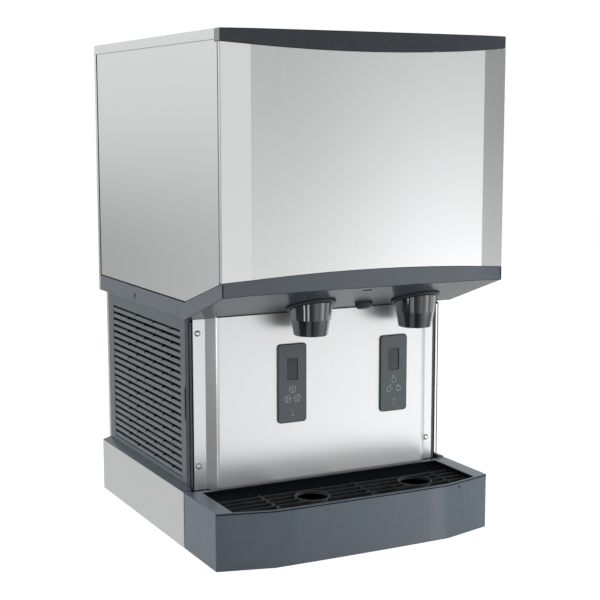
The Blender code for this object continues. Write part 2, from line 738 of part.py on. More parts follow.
def make_front_panel(cabinet):
    ends = [(side * HALF, at(FRONT_RETURN), FASCIA_END + GAP, TRIM_END - GAP) for side in (-1, 1)]
    face = [(x, bow_at(x), fascia_top(x) + GAP, trim_bottom(x) - GAP) for x in front_stations()]
    piece("front_panel", wrapped_sheet([ends[0]] + face + [ends[1]], SHEET), STEEL, cabinet)


def trim_section(x, inset, low_extra, back):
    front = bow_at(x) + inset
    low, high = trim_bottom(x) - low_extra, HEIGHT - inset
    return [(x, front, low), (x, back, low), (x, back, high), (x, front, high)]


def make_top_trim(cabinet):
    outer = [trim_section(x, 0, 0, at(TRIM_DEPTH)) for x in front_stations()]
    inner = [trim_section(x, PLASTIC, OVERRUN, at(TRIM_DEPTH) + OVERRUN) for x in front_stations(PLASTIC)]
    trim = piece("top_trim", lofted(outer), DARK_PLASTIC, cabinet)
    cut(trim, lofted(inner))


def make_top_cover(cabinet):
    low, front = HEIGHT - COVER_FLANGE, at(TRIM_DEPTH + GAP)
    cover = piece("top_cover", block((-HALF, front, low), (HALF, BACK_Y, HEIGHT)), STEEL, cabinet)
    inside = HALF - SHEET
    cut(cover, block((-inside, front - OVERRUN, low - OVERRUN), (inside, BACK_Y - SHEET, HEIGHT - SHEET)))


def make_lower_fascia(cabinet):
    """The grey front below the panel, and the underside that slants back over the vend bay."""
    wall = PLASTIC * SLOPE_STRETCH
    inner_knee = KNEE_SETBACK + (wall - PLASTIC) / UNDERSIDE_SLOPE
    rear = POST_FRONT - GAP
    sections = []
    for x in front_stations():
        front = bow_at(x) - CORNER_Y
        inner = front + PLASTIC
        profile = [(front, fascia_top(x)), (front, underside(front)), (KNEE_SETBACK, UNDERSIDE_BACK),
                   (rear, UNDERSIDE_BACK), (rear, UNDERSIDE_BACK + PLASTIC),
                   (inner_knee, UNDERSIDE_BACK + PLASTIC), (inner, underside(inner) + wall),
                   (inner, fascia_top(x))]
        sections.append([(x, at(setback), z) for setback, z in profile])
    fascia = piece("lower_fascia", lofted(sections), GREY_PLASTIC, cabinet)
    low, high = UNDERSIDE_BACK - OVERRUN, FASCIA_TOP + OVERRUN
    for side in (-1, 1):
        for inner, front in ((HALF - PLASTIC - GAP, PLASTIC), (LOWER_HALF, KNEE_SETBACK - GAP)):
            places = sorted((side * inner, side * (HALF + OVERRUN)))
            cut(fascia, block((places[0], at(front), low), (places[1], at(rear) + OVERRUN, high)))
    for x in (ICE_X, WATER_X):
        hole = [(0, low), (SPOUT_NECK_RADIUS + GAP, low), (SPOUT_NECK_RADIUS + GAP, high), (0, high)]
        cut(fascia, turned(hole, "Z", (x, at(SPOUT_SETBACK))))
    stem = LIGHT_HALF_WIDTH * LIGHT_STEM_SHARE + GAP
    hole = [(0, low), (stem, low), (stem, high), (0, high)]
    cut(fascia, turned(hole, "Z", (LIGHT_X, at(LIGHT_SETBACK)), SMALL_STEPS, LIGHT_HALF_DEPTH_SHARE))


def make_side_trim(cabinet, side, name):
    """The plastic band under a side panel, with the lip that closes the overhang."""
    front = PLASTIC + GAP
    outline = [(front, side_low(front)), (SIDE_KNEE_SETBACK, SIDE_LOW), (REAR_SETBACK, SIDE_LOW),
               (REAR_SETBACK, UNDERSIDE_BACK), (KNEE_SETBACK, UNDERSIDE_BACK), (front, underside(front))]
    outline = [(at(setback), z) for setback, z in outline]
    trim = piece(name, prism(outline, "X", side * (HALF - PLASTIC), side * HALF), GREY_PLASTIC, cabinet)
    places = sorted((side * (LOWER_HALF + GAP), side * HALF))
    fuse(trim, block((places[0], at(KNEE_SETBACK), UNDERSIDE_BACK),
                     (places[1], at(REAR_SETBACK), UNDERSIDE_BACK + PLASTIC)))


def make_side_panel(cabinet, side, name):
    front, behind_trim = FRONT_RETURN + GAP, TRIM_DEPTH + 2 * GAP
    under_trim, under_cover = TRIM_END - GAP, HEIGHT - COVER_FLANGE - GAP
    outline = [(front, side_low(front) + GAP), (SIDE_KNEE_SETBACK, SIDE_LOW + GAP),
               (REAR_SETBACK, SIDE_LOW + GAP), (REAR_SETBACK, under_cover), (behind_trim, under_cover),
               (behind_trim, under_trim), (front, under_trim)]
    outline = [(at(setback), z) for setback, z in outline]
    piece(name, prism(outline, "X", side * (HALF - SHEET), side * HALF), STEEL, cabinet)


def make_back_panel(cabinet):
    """One plate, wide above and narrow below, with a flange along each side edge."""
    top, step = HEIGHT - COVER_FLANGE - GAP, UNDERSIDE_BACK
    outline = [(-LOWER_HALF, BACK_PANEL_LOW), (LOWER_HALF, BACK_PANEL_LOW), (LOWER_HALF, step),
               (HALF, step), (HALF, top), (-HALF, top), (-HALF, step), (-LOWER_HALF, step)]
    inner = BACK_Y - SHEET
    back = piece("back_panel", prism(outline, "Y", inner, BACK_Y), STEEL, cabinet)
    front = BACK_Y - BACK_FLANGE
    for side in (-1, 1):
        for half, low, high in ((HALF, step, top), (LOWER_HALF, LEDGE_TOP + GAP, step)):
            places = sorted((side * (half - SHEET), side * half))
            fuse(back, block((places[0], front, low), (places[1], BACK_Y, high)))
    for vent in range(VENT_COUNT):
        x = AUGER_X + VENT_PITCH * (vent - (VENT_COUNT - 1) / 2)
        cut(back, block((x - VENT_WIDTH / 2, inner - OVERRUN, VENT_LOW),
                        (x + VENT_WIDTH / 2, BACK_Y + OVERRUN, VENT_HIGH)))
    rocker_half = ROCKER_HALF_WIDTH + GAP
    cut(back, block((ROCKER_X - rocker_half, inner - OVERRUN, SWITCH_Z - ROCKER_SLOT_HALF_HEIGHT),
                    (ROCKER_X + rocker_half, BACK_Y + OVERRUN, SWITCH_Z + ROCKER_SLOT_HALF_HEIGHT)))
    holes = [(BUTTON_X, SWITCH_Z, BUTTON_RADIUS), (GLAND_X, GLAND_Z, GLAND_RADIUS)]
    holes += [(x, PORT_Z, PORT_RADIUS) for x in (INLET_X, DRAIN_X)]
    for x, z, radius in holes:
        hole = [(0, inner - OVERRUN), (radius + GAP, inner - OVERRUN), (radius + GAP, BACK_Y + OVERRUN),
                (0, BACK_Y + OVERRUN)]
        cut(back, turned(hole, "Y", (x, z), SMALL_STEPS))


def make_mid_deck(cabinet):
    """The plate that carries the bin and the ice maker, on the posts and the back panel."""
    half = HALF - PLASTIC - GAP
    front = at(PLASTIC + 2 * GAP)
    deck = piece("mid_deck", block((-half, front, DECK_HEIGHT), (half, at(BACK_INNER_SETBACK), DECK_TOP)),
                 GALVANISED, cabinet)
    holes = [(ICE_X, SPOUT_SETBACK, SPOUT_NECK_RADIUS + GAP), (WATER_X, SPOUT_SETBACK, VALVE_SPIGOT + GAP),
             (ICE_X, AGITATOR_SETBACK, AGITATOR_SHAFT + RUNNING_CLEARANCE),
             (AUGER_X, SUCTION_SETBACK, LINE_RADIUS + GAP)]
    for x, setback, radius in holes:
        low, high = DECK_HEIGHT - OVERRUN, DECK_TOP + OVERRUN
        cut(deck, turned([(0, low), (radius, low), (radius, high), (0, high)], "Z", (x, at(setback))))


# Lower cabinet

def make_base_pan(base):
    front, back = at(PAN_FRONT), at(BACK_INNER_SETBACK)
    outline = [(front, 0), (back, 0), (back, PAN_WALL_HEIGHT), (back - PAN_WALL, PAN_WALL_HEIGHT),
               (back - PAN_WALL, PAN_FLOOR), (front + PAN_WALL, PAN_FLOOR),
               (front + PAN_WALL, PAN_WALL_HEIGHT), (front, PAN_WALL_HEIGHT)]
    piece("base_pan", prism(outline, "X", -LOWER_HALF, LOWER_HALF), GALVANISED, base)


def make_skirt(base, side, name):
    inner = LOWER_HALF + GAP
    outline = [(HALF, 0), (HALF, SKIRT_HEIGHT), (inner, SKIRT_HEIGHT), (inner, SKIRT_HEIGHT - SHEET),
               (HALF - SHEET, SKIRT_HEIGHT - SHEET), (HALF - SHEET, SHEET), (inner, SHEET), (inner, 0)]
    outline = [(side * x, z) for x, z in outline]
    piece(name, prism(outline, "Y", at(SKIRT_FRONT), at(SKIRT_BACK)), STEEL, base)


def make_ledge(base, side, name):
    """The sloped strip on a skirt, which the louvred panel stands on."""
    low, inner = SKIRT_HEIGHT + GAP, LOWER_HALF - LOUVRE_THICKNESS
    outline = [(HALF, low), (HALF, low + LEDGE_LIP), (LOWER_HALF + GAP, LEDGE_TOP), (inner, LEDGE_TOP),
               (inner, low)]
    outline = [(side * x, z) for x, z in outline]
    ledge = piece(name, prism(outline, "Y", at(SKIRT_FRONT), at(SKIRT_BACK)), GREY_PLASTIC, base)
    places = sorted((side * (inner - OVERRUN), side * (LOWER_HALF + GAP)))
    cut(ledge, block((places[0], at(SKIRT_FRONT) - OVERRUN, low - OVERRUN),
                     (places[1], at(LOUVRE_FRONT), LEDGE_TOP + OVERRUN)))


def make_post(base, side, name):
    outline = [(LOWER_HALF, POST_BACK), (LOWER_HALF - POST_CHAMFER, POST_FRONT),
               (POST_INNER_HALF, POST_FRONT), (POST_INNER_HALF, POST_BACK)]
    outline = [(side * x, at(setback)) for x, setback in outline]
    piece(name, prism(outline, "Z", PAN_TOP, DECK_HEIGHT - GAP), DARK_PLASTIC, base)


def louvre_rows():
    """Rows of slots between webs, the webs of every other row moved along by half a spacing."""
    pitch = (LOUVRE_FIELD_HIGH - LOUVRE_FIELD_LOW) / LOUVRE_ROWS
    rows = []
    for row in range(LOUVRE_ROWS):
        low = LOUVRE_FIELD_LOW + pitch * row
        first = LOUVRE_SPACING if row % 2 else LOUVRE_SPACING / 2
        webs = []
        while LOUVRE_FIELD_FRONT + first < LOUVRE_FIELD_BACK - LOUVRE_WEB:
            webs.append(LOUVRE_FIELD_FRONT + first)
            first += LOUVRE_SPACING
        starts = [LOUVRE_FIELD_FRONT] + [web + LOUVRE_WEB / 2 for web in webs]
        ends = [web - LOUVRE_WEB / 2 for web in webs] + [LOUVRE_FIELD_BACK]
        slots = [(at(start), at(end)) for start, end in zip(starts, ends)]
        rows.append((low, low + pitch * LOUVRE_SLOT_SHARE, slots))
    return rows


def make_louvre_panel(base, side, name):
    u_range = (at(LOUVRE_FRONT), at(REAR_SETBACK))
    v_range = (LEDGE_TOP + GAP, UNDERSIDE_BACK - GAP)
    outer, inner = side * LOWER_HALF, side * (LOWER_HALF - LOUVRE_THICKNESS)
    bm = slotted(u_range, v_range, louvre_rows(), "X", outer, inner, LOUVRE_LEAN)
    piece(name, bm, GREY_PLASTIC, base)


def make_air_filter(base):
    """A framed screen on the inner face of the left louvred panel."""
    front, back = LOUVRE_FIELD_FRONT - FILTER_MARGIN, LOUVRE_FIELD_BACK + FILTER_MARGIN
    low, high = LOUVRE_FIELD_LOW - FILTER_MARGIN, LOUVRE_FIELD_HIGH + FILTER_MARGIN
    row_pitch = (high - low - FILTER_FRAME) / FILTER_ROWS
    column_pitch = (back - front - FILTER_FRAME) / FILTER_COLUMNS
    rows = []
    for row in range(FILTER_ROWS):
        start = low + FILTER_FRAME + row_pitch * row
        slots = [(at(front + FILTER_FRAME + column_pitch * column), at(front + column_pitch * (column + 1)))
                 for column in range(FILTER_COLUMNS)]
        rows.append((start, start + row_pitch - FILTER_FRAME, slots))
    outer = -(LOWER_HALF - LOUVRE_THICKNESS - GAP)
    bm = slotted((at(front), at(back)), (low, high), rows, "X", outer, outer + FILTER_THICKNESS)
    piece("air_filter", bm, BLACK_PLASTIC, base)


# Vend bay

def make_splash_panel(bay):
    foot, top = TRAY_TOP + GAP, UNDERSIDE_BACK - GAP
    flange = (SPLASH_FLANGE_SETBACK, SPLASH_FLANGE_TOP)
    half = [(SPLASH_HALF, SPLASH_SETBACK, top), (SPLASH_RETURN_HALF, *flange), (SPLASH_FLANGE_HALF, *flange)]
    path = [(-x, at(setback), foot, high) for x, setback, high in half[::-1]]
    path += [(x, at(setback), foot, high) for x, setback, high in half]
    splash = piece("splash_panel", wrapped_sheet(path, SHEET), STEEL, bay)
    for x in (ICE_SENSOR_X, WATER_SENSOR_X):
        cut(splash, block((x - WINDOW_WIDTH / 2, at(SPLASH_SETBACK) - OVERRUN, WINDOW_LOW),
                          (x + WINDOW_WIDTH / 2, at(SPLASH_SETBACK) + OVERRUN, WINDOW_HIGH)))


def rounded_rectangle(x, half_width, low, high, radius, steps=3):
    outline = []
    for quarter, (across, up) in enumerate(((1, high), (-1, high), (-1, low), (1, low))):
        centre = (x + across * (half_width - radius), up - radius if up == high else up + radius)
        for step in range(steps + 1):
            angle = math.pi / 2 * (quarter + step / steps)
            outline.append((centre[0] + radius * math.cos(angle), centre[1] + radius * math.sin(angle)))
    return outline


def make_sensor(bay, x, kind):
    """A bezel on the splash panel, and the sensor's window that sits in it."""
    back = at(SPLASH_SETBACK) - GAP
    front = back - SENSOR_THICKNESS
    outline = rounded_rectangle(x, SENSOR_WIDTH / 2, SENSOR_LOW, SENSOR_HIGH, SENSOR_RADIUS)
    bezel = piece(f"sensor_bezel_{kind}", prism(outline, "Y", front, back), DARK_PLASTIC, bay)
    cut(bezel, block((x - WINDOW_WIDTH / 2, front - OVERRUN, WINDOW_LOW),
                     (x + WINDOW_WIDTH / 2, back + OVERRUN, WINDOW_HIGH)))
    half = WINDOW_WIDTH / 2 - GAP
    eye = block((x - half, front + EYE_RECESS, WINDOW_LOW + GAP),
                (x + half, front + EYE_DEPTH, WINDOW_HIGH - GAP))
    piece(f"sensor_eye_{kind}", eye, GREY_LENS, bay)


def make_spout(bay, x, kind, neck_top):
    """A tapered nozzle, its flange against the slanted underside and its neck up through it."""
    seat = underside(SPOUT_SETBACK) - GAP
    below = seat - SPOUT_FLANGE_THICKNESS
    neck, tip = SPOUT_NECK_RADIUS, seat + GAP - SPOUT_DROP
    waist = tip + SPOUT_TIP_HEIGHT
    profile = [(SPOUT_TIP_RADIUS, tip), (SPOUT_BREAK_RADIUS, waist),
               (SPOUT_TOP_RADIUS, below, 1), (SPOUT_FLANGE_RADIUS, below, 1),
               (SPOUT_FLANGE_RADIUS, seat, 1), (neck, seat, 1), (neck, neck_top),
               (neck - SPOUT_WALL, neck_top), (neck - SPOUT_WALL, waist), (SPOUT_TIP_RADIUS - SPOUT_WALL, tip)]
    bm = turned(profile, "Z", (x, at(SPOUT_SETBACK)), slope=UNDERSIDE_SLOPE)
    piece(f"{kind}_spout", bm, BLACK_PLASTIC, bay, smooth=True)


def make_bay_light(bay):
    """An oval lens against the underside, on a stem through it."""
    seat = underside(LIGHT_SETBACK) - GAP
    stem = LIGHT_HALF_WIDTH * LIGHT_STEM_SHARE
    low = seat - LIGHT_THICKNESS
    top = seat + LIGHT_STEM
    profile = [(0, low, 1), (stem, low, 1), (LIGHT_HALF_WIDTH, seat - LIGHT_THICKNESS / 2, 1),
               (LIGHT_HALF_WIDTH, seat, 1), (stem, seat, 1), (stem, top, 1), (0, top, 1)]
    centre = (LIGHT_X, at(LIGHT_SETBACK))
    bm = turned(profile, "Z", centre, SMALL_STEPS, LIGHT_HALF_DEPTH_SHARE, UNDERSIDE_SLOPE)
    piece("bay_light_lens", bm, BLACK_PLASTIC, bay, smooth=True)


# Drip tray

def tray_outline(side_inset, front_inset, back):
    """The tray's plan: side facets, and a front that bows a little between them."""
    end = HALF - side_inset
    front = [(-end, TRAY_BEND_SETBACK + TRAY_SLOPE * (end - TRAY_BEND_HALF))]
    for step in range(BOW_STEPS + 1):
        share = 2 * step / BOW_STEPS - 1
        front.append((TRAY_BEND_HALF * share, TRAY_BEND_SETBACK - TRAY_BOW * (1 - share ** 2)))
    front.append((end, front[0][1]))
    return [(x, at(setback + front_inset)) for x, setback in front] + [(end, at(back)), (-end, at(back))]


def make_drip_tray(base):
    """A deep-fronted tray: a basin with a step that the grille lies on, and a hollow outside it."""
    tray = piece("drip_tray", prism(tray_outline(0, 0, TRAY_BACK), "Z", 0, TRAY_TOP), GREY_PLASTIC, base)
    hollow = prism(tray_outline(PLASTIC, PLASTIC, TRAY_BACK - PLASTIC), "Z", -OVERRUN, TRAY_TOP - PLASTIC)
    hollow = cut(tray, hollow)
    around = tray_outline(TRAY_SIDE_RIM - PLASTIC, TRAY_FRONT_RIM - PLASTIC, BASIN_BACK + PLASTIC)
    cut(hollow, prism(around, "Z", BASIN_FLOOR - PLASTIC, TRAY_TOP + OVERRUN))
    step_z = GRILLE_TOP - GRILLE_THICKNESS - GAP
    mouth = tray_outline(TRAY_SIDE_RIM, TRAY_FRONT_RIM, BASIN_BACK)
    cut(tray, prism(mouth, "Z", step_z, TRAY_TOP + OVERRUN))
    inside = tray_outline(TRAY_SIDE_RIM + BASIN_STEP, TRAY_FRONT_RIM + BASIN_STEP, BASIN_BACK - BASIN_STEP)
    cut(tray, prism(inside, "Z", BASIN_FLOOR, TRAY_TOP + OVERRUN))


def make_drip_grille(base):
    """Bars across the tray between ribs, with a ring under each spout."""
    end = HALF - TRAY_SIDE_RIM - GAP
    front = TRAY_BEND_SETBACK + TRAY_FRONT_RIM + GAP
    back = BASIN_BACK - GAP
    pitch = (back - front - 2 * GRILLE_BORDER + GRILLE_BAR) / GRILLE_ROWS
    rows = []
    for row in range(GRILLE_ROWS):
        low = front + GRILLE_BORDER + pitch * row
        reach = TRAY_BEND_HALF + (low - front - GRILLE_BORDER) / TRAY_SLOPE
        reach = min(end, reach) - GRILLE_BORDER
        ribs = [end * share for share in GRILLE_RIB_SHARES]
        ribs = [rib for rib in ribs if abs(rib) + GRILLE_BORDER < reach]
        starts = [-reach] + [rib + GRILLE_RIB_HALF_WIDTH for rib in ribs]
        ends = [rib - GRILLE_RIB_HALF_WIDTH for rib in ribs] + [reach]
        rows.append((at(low), at(low + pitch - GRILLE_BAR), list(zip(starts, ends))))
    bottom = GRILLE_TOP - GRILLE_THICKNESS
    plate = slotted((-end, end), (at(front), at(back)), rows, "Z", bottom, GRILLE_TOP)
    grille = piece("drip_grille", plate, BLACK_PLASTIC, base)
    facet_end = front + TRAY_SLOPE * (end - TRAY_BEND_HALF)
    for side in (-1, 1):
        bend, beyond = side * TRAY_BEND_HALF, side * (end + OVERRUN)
        corner = [(bend, at(front)), (bend, at(front) - OVERRUN), (beyond, at(front) - OVERRUN),
                  (beyond, at(facet_end + TRAY_SLOPE * OVERRUN))]
        cut(grille, prism(corner, "Z", bottom - OVERRUN, GRILLE_TOP + OVERRUN))
    for x in CUP_PLACES:
        ring = [(CUP_INNER, bottom), (CUP_OUTER, bottom), (CUP_OUTER, GRILLE_TOP), (CUP_INNER, GRILLE_TOP)]
        hole = [(0, bottom - OVERRUN), (CUP_INNER + GAP, bottom - OVERRUN),
                (CUP_INNER + GAP, GRILLE_TOP + OVERRUN), (0, GRILLE_TOP + OVERRUN)]
        cut(grille, turned(hole, "Z", (x, at(CUP_SETBACK))))
        fuse(grille, turned(ring, "Z", (x, at(CUP_SETBACK))))


# Ice bin and agitator

def make_ice_bin(store):
    low = (ICE_X - BIN_HALF_WIDTH, at(BIN_FRONT), ON_DECK)
    high = (ICE_X + BIN_HALF_WIDTH, at(BIN_BACK), BIN_TOP)
    ice_bin = piece("ice_bin", block(low, high), PALE_PLASTIC, store)
    cut(ice_bin, block((low[0] + BIN_WALL, low[1] + BIN_WALL, BIN_FLOOR),
                       (high[0] - BIN_WALL, high[1] - BIN_WALL, BIN_TOP + OVERRUN)))
    for setback, radius in ((SPOUT_SETBACK, SPOUT_NECK_RADIUS + GAP),
                            (AGITATOR_SETBACK, AGITATOR_SHAFT + RUNNING_CLEARANCE)):
        hole = [(0, ON_DECK - OVERRUN), (radius, ON_DECK - OVERRUN), (radius, BIN_FLOOR + OVERRUN),
                (0, BIN_FLOOR + OVERRUN)]
        cut(ice_bin, turned(hole, "Z", (ICE_X, at(setback))))


def make_bin_lid(store):
    bottom = BIN_TOP + GAP
    top = bottom + LID_THICKNESS
    lid = piece("bin_lid", block((ICE_X - BIN_HALF_WIDTH, at(BIN_FRONT), bottom),
                                 (ICE_X + BIN_HALF_WIDTH, at(BIN_BACK), top)), PALE_PLASTIC, store)
    radius = ICE_TUBE_RADIUS + GAP
    hole = [(0, bottom - OVERRUN), (radius, bottom - OVERRUN), (radius, top + OVERRUN), (0, top + OVERRUN)]
    cut(lid, turned(hole, "Z", (ICE_TUBE_X, at(ICE_TUBE_END_SETBACK))))


def make_agitator(store):
    """A wheel of arms on the bin's floor, with a mast and a stirring bar above it."""
    centre = (ICE_X, at(AGITATOR_SETBACK))
    low = BIN_FLOOR + AGITATOR_CLEARANCE
    half_width = AGITATOR_ARM_WIDTH / 2
    root = half_width / math.tan(math.pi / AGITATOR_ARMS)
    outline = []
    for arm in range(AGITATOR_ARMS):
        turn = 2 * math.pi * arm / AGITATOR_ARMS
        reach = AGITATOR_REACH
        for along, across in ((root, -half_width), (reach, -half_width), (reach, half_width)):
            outline.append((centre[0] + along * math.cos(turn) - across * math.sin(turn),
                            centre[1] + along * math.sin(turn) + across * math.cos(turn)))
    wheel = prism(outline, "Z", low, low + AGITATOR_ARM_HEIGHT)
    agitator = piece("agitator", wheel, PALE_PLASTIC, store, origin=(*centre, low))
    shaft_low = AGITATOR_MOTOR_TOP - AGITATOR_SOCKET + GAP
    hub_top = low + AGITATOR_ARM_HEIGHT + OVERRUN
    mast = [(0, shaft_low), (AGITATOR_SHAFT, shaft_low), (AGITATOR_SHAFT, low), (AGITATOR_HUB, low),
            (AGITATOR_HUB, hub_top), (AGITATOR_MAST, hub_top + AGITATOR_MAST),
            (AGITATOR_MAST, AGITATOR_TOP), (0, AGITATOR_TOP)]
    fuse(agitator, turned(mast, "Z", centre, SMALL_STEPS))
    half = Vector((STIRRER_REACH, STIRRER_HALF, STIRRER_HALF))
    middle = Vector((*centre, STIRRER_HEIGHT))
    fuse(agitator, block(middle - half, middle + half))


def make_agitator_motor(store):
    bore = AGITATOR_SHAFT + RUNNING_CLEARANCE
    profile = [(0, AGITATOR_MOTOR_LOW), (AGITATOR_MOTOR_RADIUS, AGITATOR_MOTOR_LOW),
               (AGITATOR_MOTOR_RADIUS, AGITATOR_MOTOR_TOP), (bore, AGITATOR_MOTOR_TOP),
               (bore, AGITATOR_MOTOR_TOP - AGITATOR_SOCKET), (0, AGITATOR_MOTOR_TOP - AGITATOR_SOCKET)]
    bm = turned(profile, "Z", (ICE_X, at(AGITATOR_SETBACK)))
    piece("agitator_motor", bm, BLACK_PAINT, store, smooth=True)


# Ice maker

def gear_outline(teeth, centre, phase):
    """Straight-sided teeth with room between them, from the pitch radius and the module."""
    pitch_radius = GEAR_MODULE * teeth / 2
    tip, root = pitch_radius + GEAR_MODULE * TIP_SHARE, pitch_radius - GEAR_MODULE * ROOT_SHARE
    outline = []
    for tooth in range(teeth):
        middle = 2 * math.pi * (tooth + phase) / teeth
        for radius, share in ((root, -TOOTH_BASE_SHARE), (tip, -TOOTH_TIP_SHARE), (tip, TOOTH_TIP_SHARE),
                              (root, TOOTH_BASE_SHARE)):
            angle = middle + share * math.pi / teeth
            outline.append((centre[0] + radius * math.cos(angle), centre[1] + radius * math.sin(angle)))
    return outline


def two_round_outline(first, first_radius, second, second_radius, steps=10):
    """The outline of a belt round two circles side by side along X."""
    lean = math.acos((first_radius - second_radius) / (second[0] - first[0]))
    outline = []
    for centre, radius, start, end in ((first, first_radius, lean, 2 * math.pi - lean),
                                       (second, second_radius, -lean, lean)):
        for step in range(steps + 1):
            angle = start + (end - start) * step / steps
            outline.append((centre[0] + radius * math.cos(angle), centre[1] + radius * math.sin(angle)))
    return outline


def make_gearcase(maker):
    """A cover over the gears, open below where it stands on the deck."""
    auger, motor = (AUGER_X, at(AUGER_SETBACK)), (MOTOR_X, at(AUGER_SETBACK))
    outside = two_round_outline(auger, GEARCASE_ROUND, motor, GEARCASE_SMALL_ROUND)
    case = piece("gearcase", prism(outside, "Z", ON_DECK, GEARCASE_TOP), ALUMINIUM, maker)
    wall = GEARCASE_WALL
    inside = two_round_outline(auger, GEARCASE_ROUND - wall, motor, GEARCASE_SMALL_ROUND - wall)
    cut(case, prism(inside, "Z", ON_DECK - OVERRUN, GEARCASE_TOP - GEARCASE_WALL))
    for centre, shaft in ((auger, AUGER_SHAFT), (motor, PINION_SHAFT)):
        radius, low, high = shaft + RUNNING_CLEARANCE, GEARCASE_TOP - GEARCASE_WALL - OVERRUN, ON_GEARCASE
        hole = [(0, low), (radius, low), (radius, high), (0, high)]
        cut(case, turned(hole, "Z", centre))


def make_gears(maker):
    """The auger's gear on its shaft, and the motor's pinion with its own shaft."""
    low = ON_DECK + GEAR_LIFT
    high = low + GEAR_THICKNESS
    auger, motor = (AUGER_X, at(AUGER_SETBACK)), (MOTOR_X, at(AUGER_SETBACK))
    wheel = prism(gear_outline(GEAR_TEETH, auger, 0), "Z", low, high)
    gear = piece("auger_gear", wheel, GEAR_STEEL, maker, origin=(*auger, low))
    bore = AUGER_SHAFT + GAP
    hole = [(0, low - OVERRUN), (bore, low - OVERRUN), (bore, high + OVERRUN), (0, high + OVERRUN)]
    cut(gear, turned(hole, "Z", auger))
    phase = 0.5 if PINION_TEETH % 2 == 0 else 0
    wheel = prism(gear_outline(PINION_TEETH, motor, phase), "Z", low, high)
    pinion = piece("motor_pinion", wheel, GEAR_STEEL, maker, origin=(*motor, low))
    top = ON_GEARCASE + MOTOR_SOCKET - GAP
    shaft = [(0, ON_DECK), (PINION_SHAFT, ON_DECK), (PINION_SHAFT, top), (0, top)]
    fuse(pinion, turned(shaft, "Z", motor, SMALL_STEPS))


def make_auger(maker):
    """A shaft with one screw flight, turned ring by ring as the flight climbs."""
    bm = bmesh.new()
    centre = (AUGER_X, at(AUGER_SETBACK))
    start = ON_GEARCASE + FLIGHT_MARGIN
    flight_length = EVAPORATOR_TOP - FLIGHT_MARGIN - start
    heights = [ON_DECK] + [start + flight_length * ring / (AUGER_SIDES * AUGER_TURNS)
                           for ring in range(AUGER_SIDES * AUGER_TURNS + 1)] + [HEAD_LOW + HEAD_HEIGHT]
    rings = []
    for index, height in enumerate(heights):
        plain = index in (0, 1, len(heights) - 2, len(heights) - 1)
        ring = []
        for side in range(AUGER_SIDES):
            radius = AUGER_FLIGHT if side == index % AUGER_SIDES and not plain else AUGER_SHAFT
            angle = 2 * math.pi * side / AUGER_SIDES
            ring.append(bm.verts.new((centre[0] + radius * math.cos(angle),
                                      centre[1] + radius * math.sin(angle), height)))
        rings.append(ring)
    for here, there in zip(rings, rings[1:]):
        for (a, b), (c, d) in zip(ring_of(here), ring_of(there)):
            bm.faces.new((a, b, d))
            bm.faces.new((a, d, c))
    bm.faces.new(rings[0][::-1])
    bm.faces.new(rings[-1])
    piece("auger", bm, GEAR_STEEL, maker, origin=(*centre, ON_DECK))


def make_evaporator(maker):
    centre = (AUGER_X, at(AUGER_SETBACK))
    wall = [(EVAPORATOR_BORE, ON_GEARCASE), (EVAPORATOR_RADIUS, ON_GEARCASE),
            (EVAPORATOR_RADIUS, EVAPORATOR_TOP), (EVAPORATOR_BORE, EVAPORATOR_TOP)]
    piece("evaporator", turned(wall, "Z", centre), GALVANISED, maker, smooth=True)
    bore, top = AUGER_SHAFT + RUNNING_CLEARANCE, HEAD_LOW + HEAD_HEIGHT
    head = [(bore, HEAD_LOW), (HEAD_RADIUS, HEAD_LOW), (HEAD_RADIUS, top - HEAD_TAPER),
            (HEAD_RADIUS - HEAD_TAPER, top), (bore, top)]
    piece("nugget_head", turned(head, "Z", centre), PALE_PLASTIC, maker, smooth=True)


def make_auger_motor(maker):
    bore, top = PINION_SHAFT + RUNNING_CLEARANCE, ON_GEARCASE + AUGER_MOTOR_HEIGHT
    socket = ON_GEARCASE + MOTOR_SOCKET
    profile = [(0, socket), (bore, socket), (bore, ON_GEARCASE), (AUGER_MOTOR_RADIUS, ON_GEARCASE),
               (AUGER_MOTOR_RADIUS, top), (0, top)]
    case = turned(profile, "Z", (MOTOR_X, at(AUGER_SETBACK)))
    piece("auger_motor", case, BLACK_PAINT, maker, smooth=True)


def make_ice_tube(maker):
    side = AUGER_X - HEAD_RADIUS - GAP
    start_z = HEAD_LOW + (HEAD_HEIGHT - HEAD_TAPER) / 2
    rear, front = at(AUGER_SETBACK), at(ICE_TUBE_END_SETBACK)
    corners = [(side, rear, start_z), (ICE_TUBE_X, rear, start_z), (ICE_TUBE_X, rear, ICE_TUBE_TOP),
               (ICE_TUBE_X, front, ICE_TUBE_TOP), (ICE_TUBE_X, front, BIN_TOP - ICE_TUBE_DIP)]
    tube = piped(rounded_route(corners, TUBE_BEND), ICE_TUBE_RADIUS, SMALL_STEPS)
    piece("ice_tube", tube, PALE_PLASTIC, maker, smooth=True)


# Water reservoir

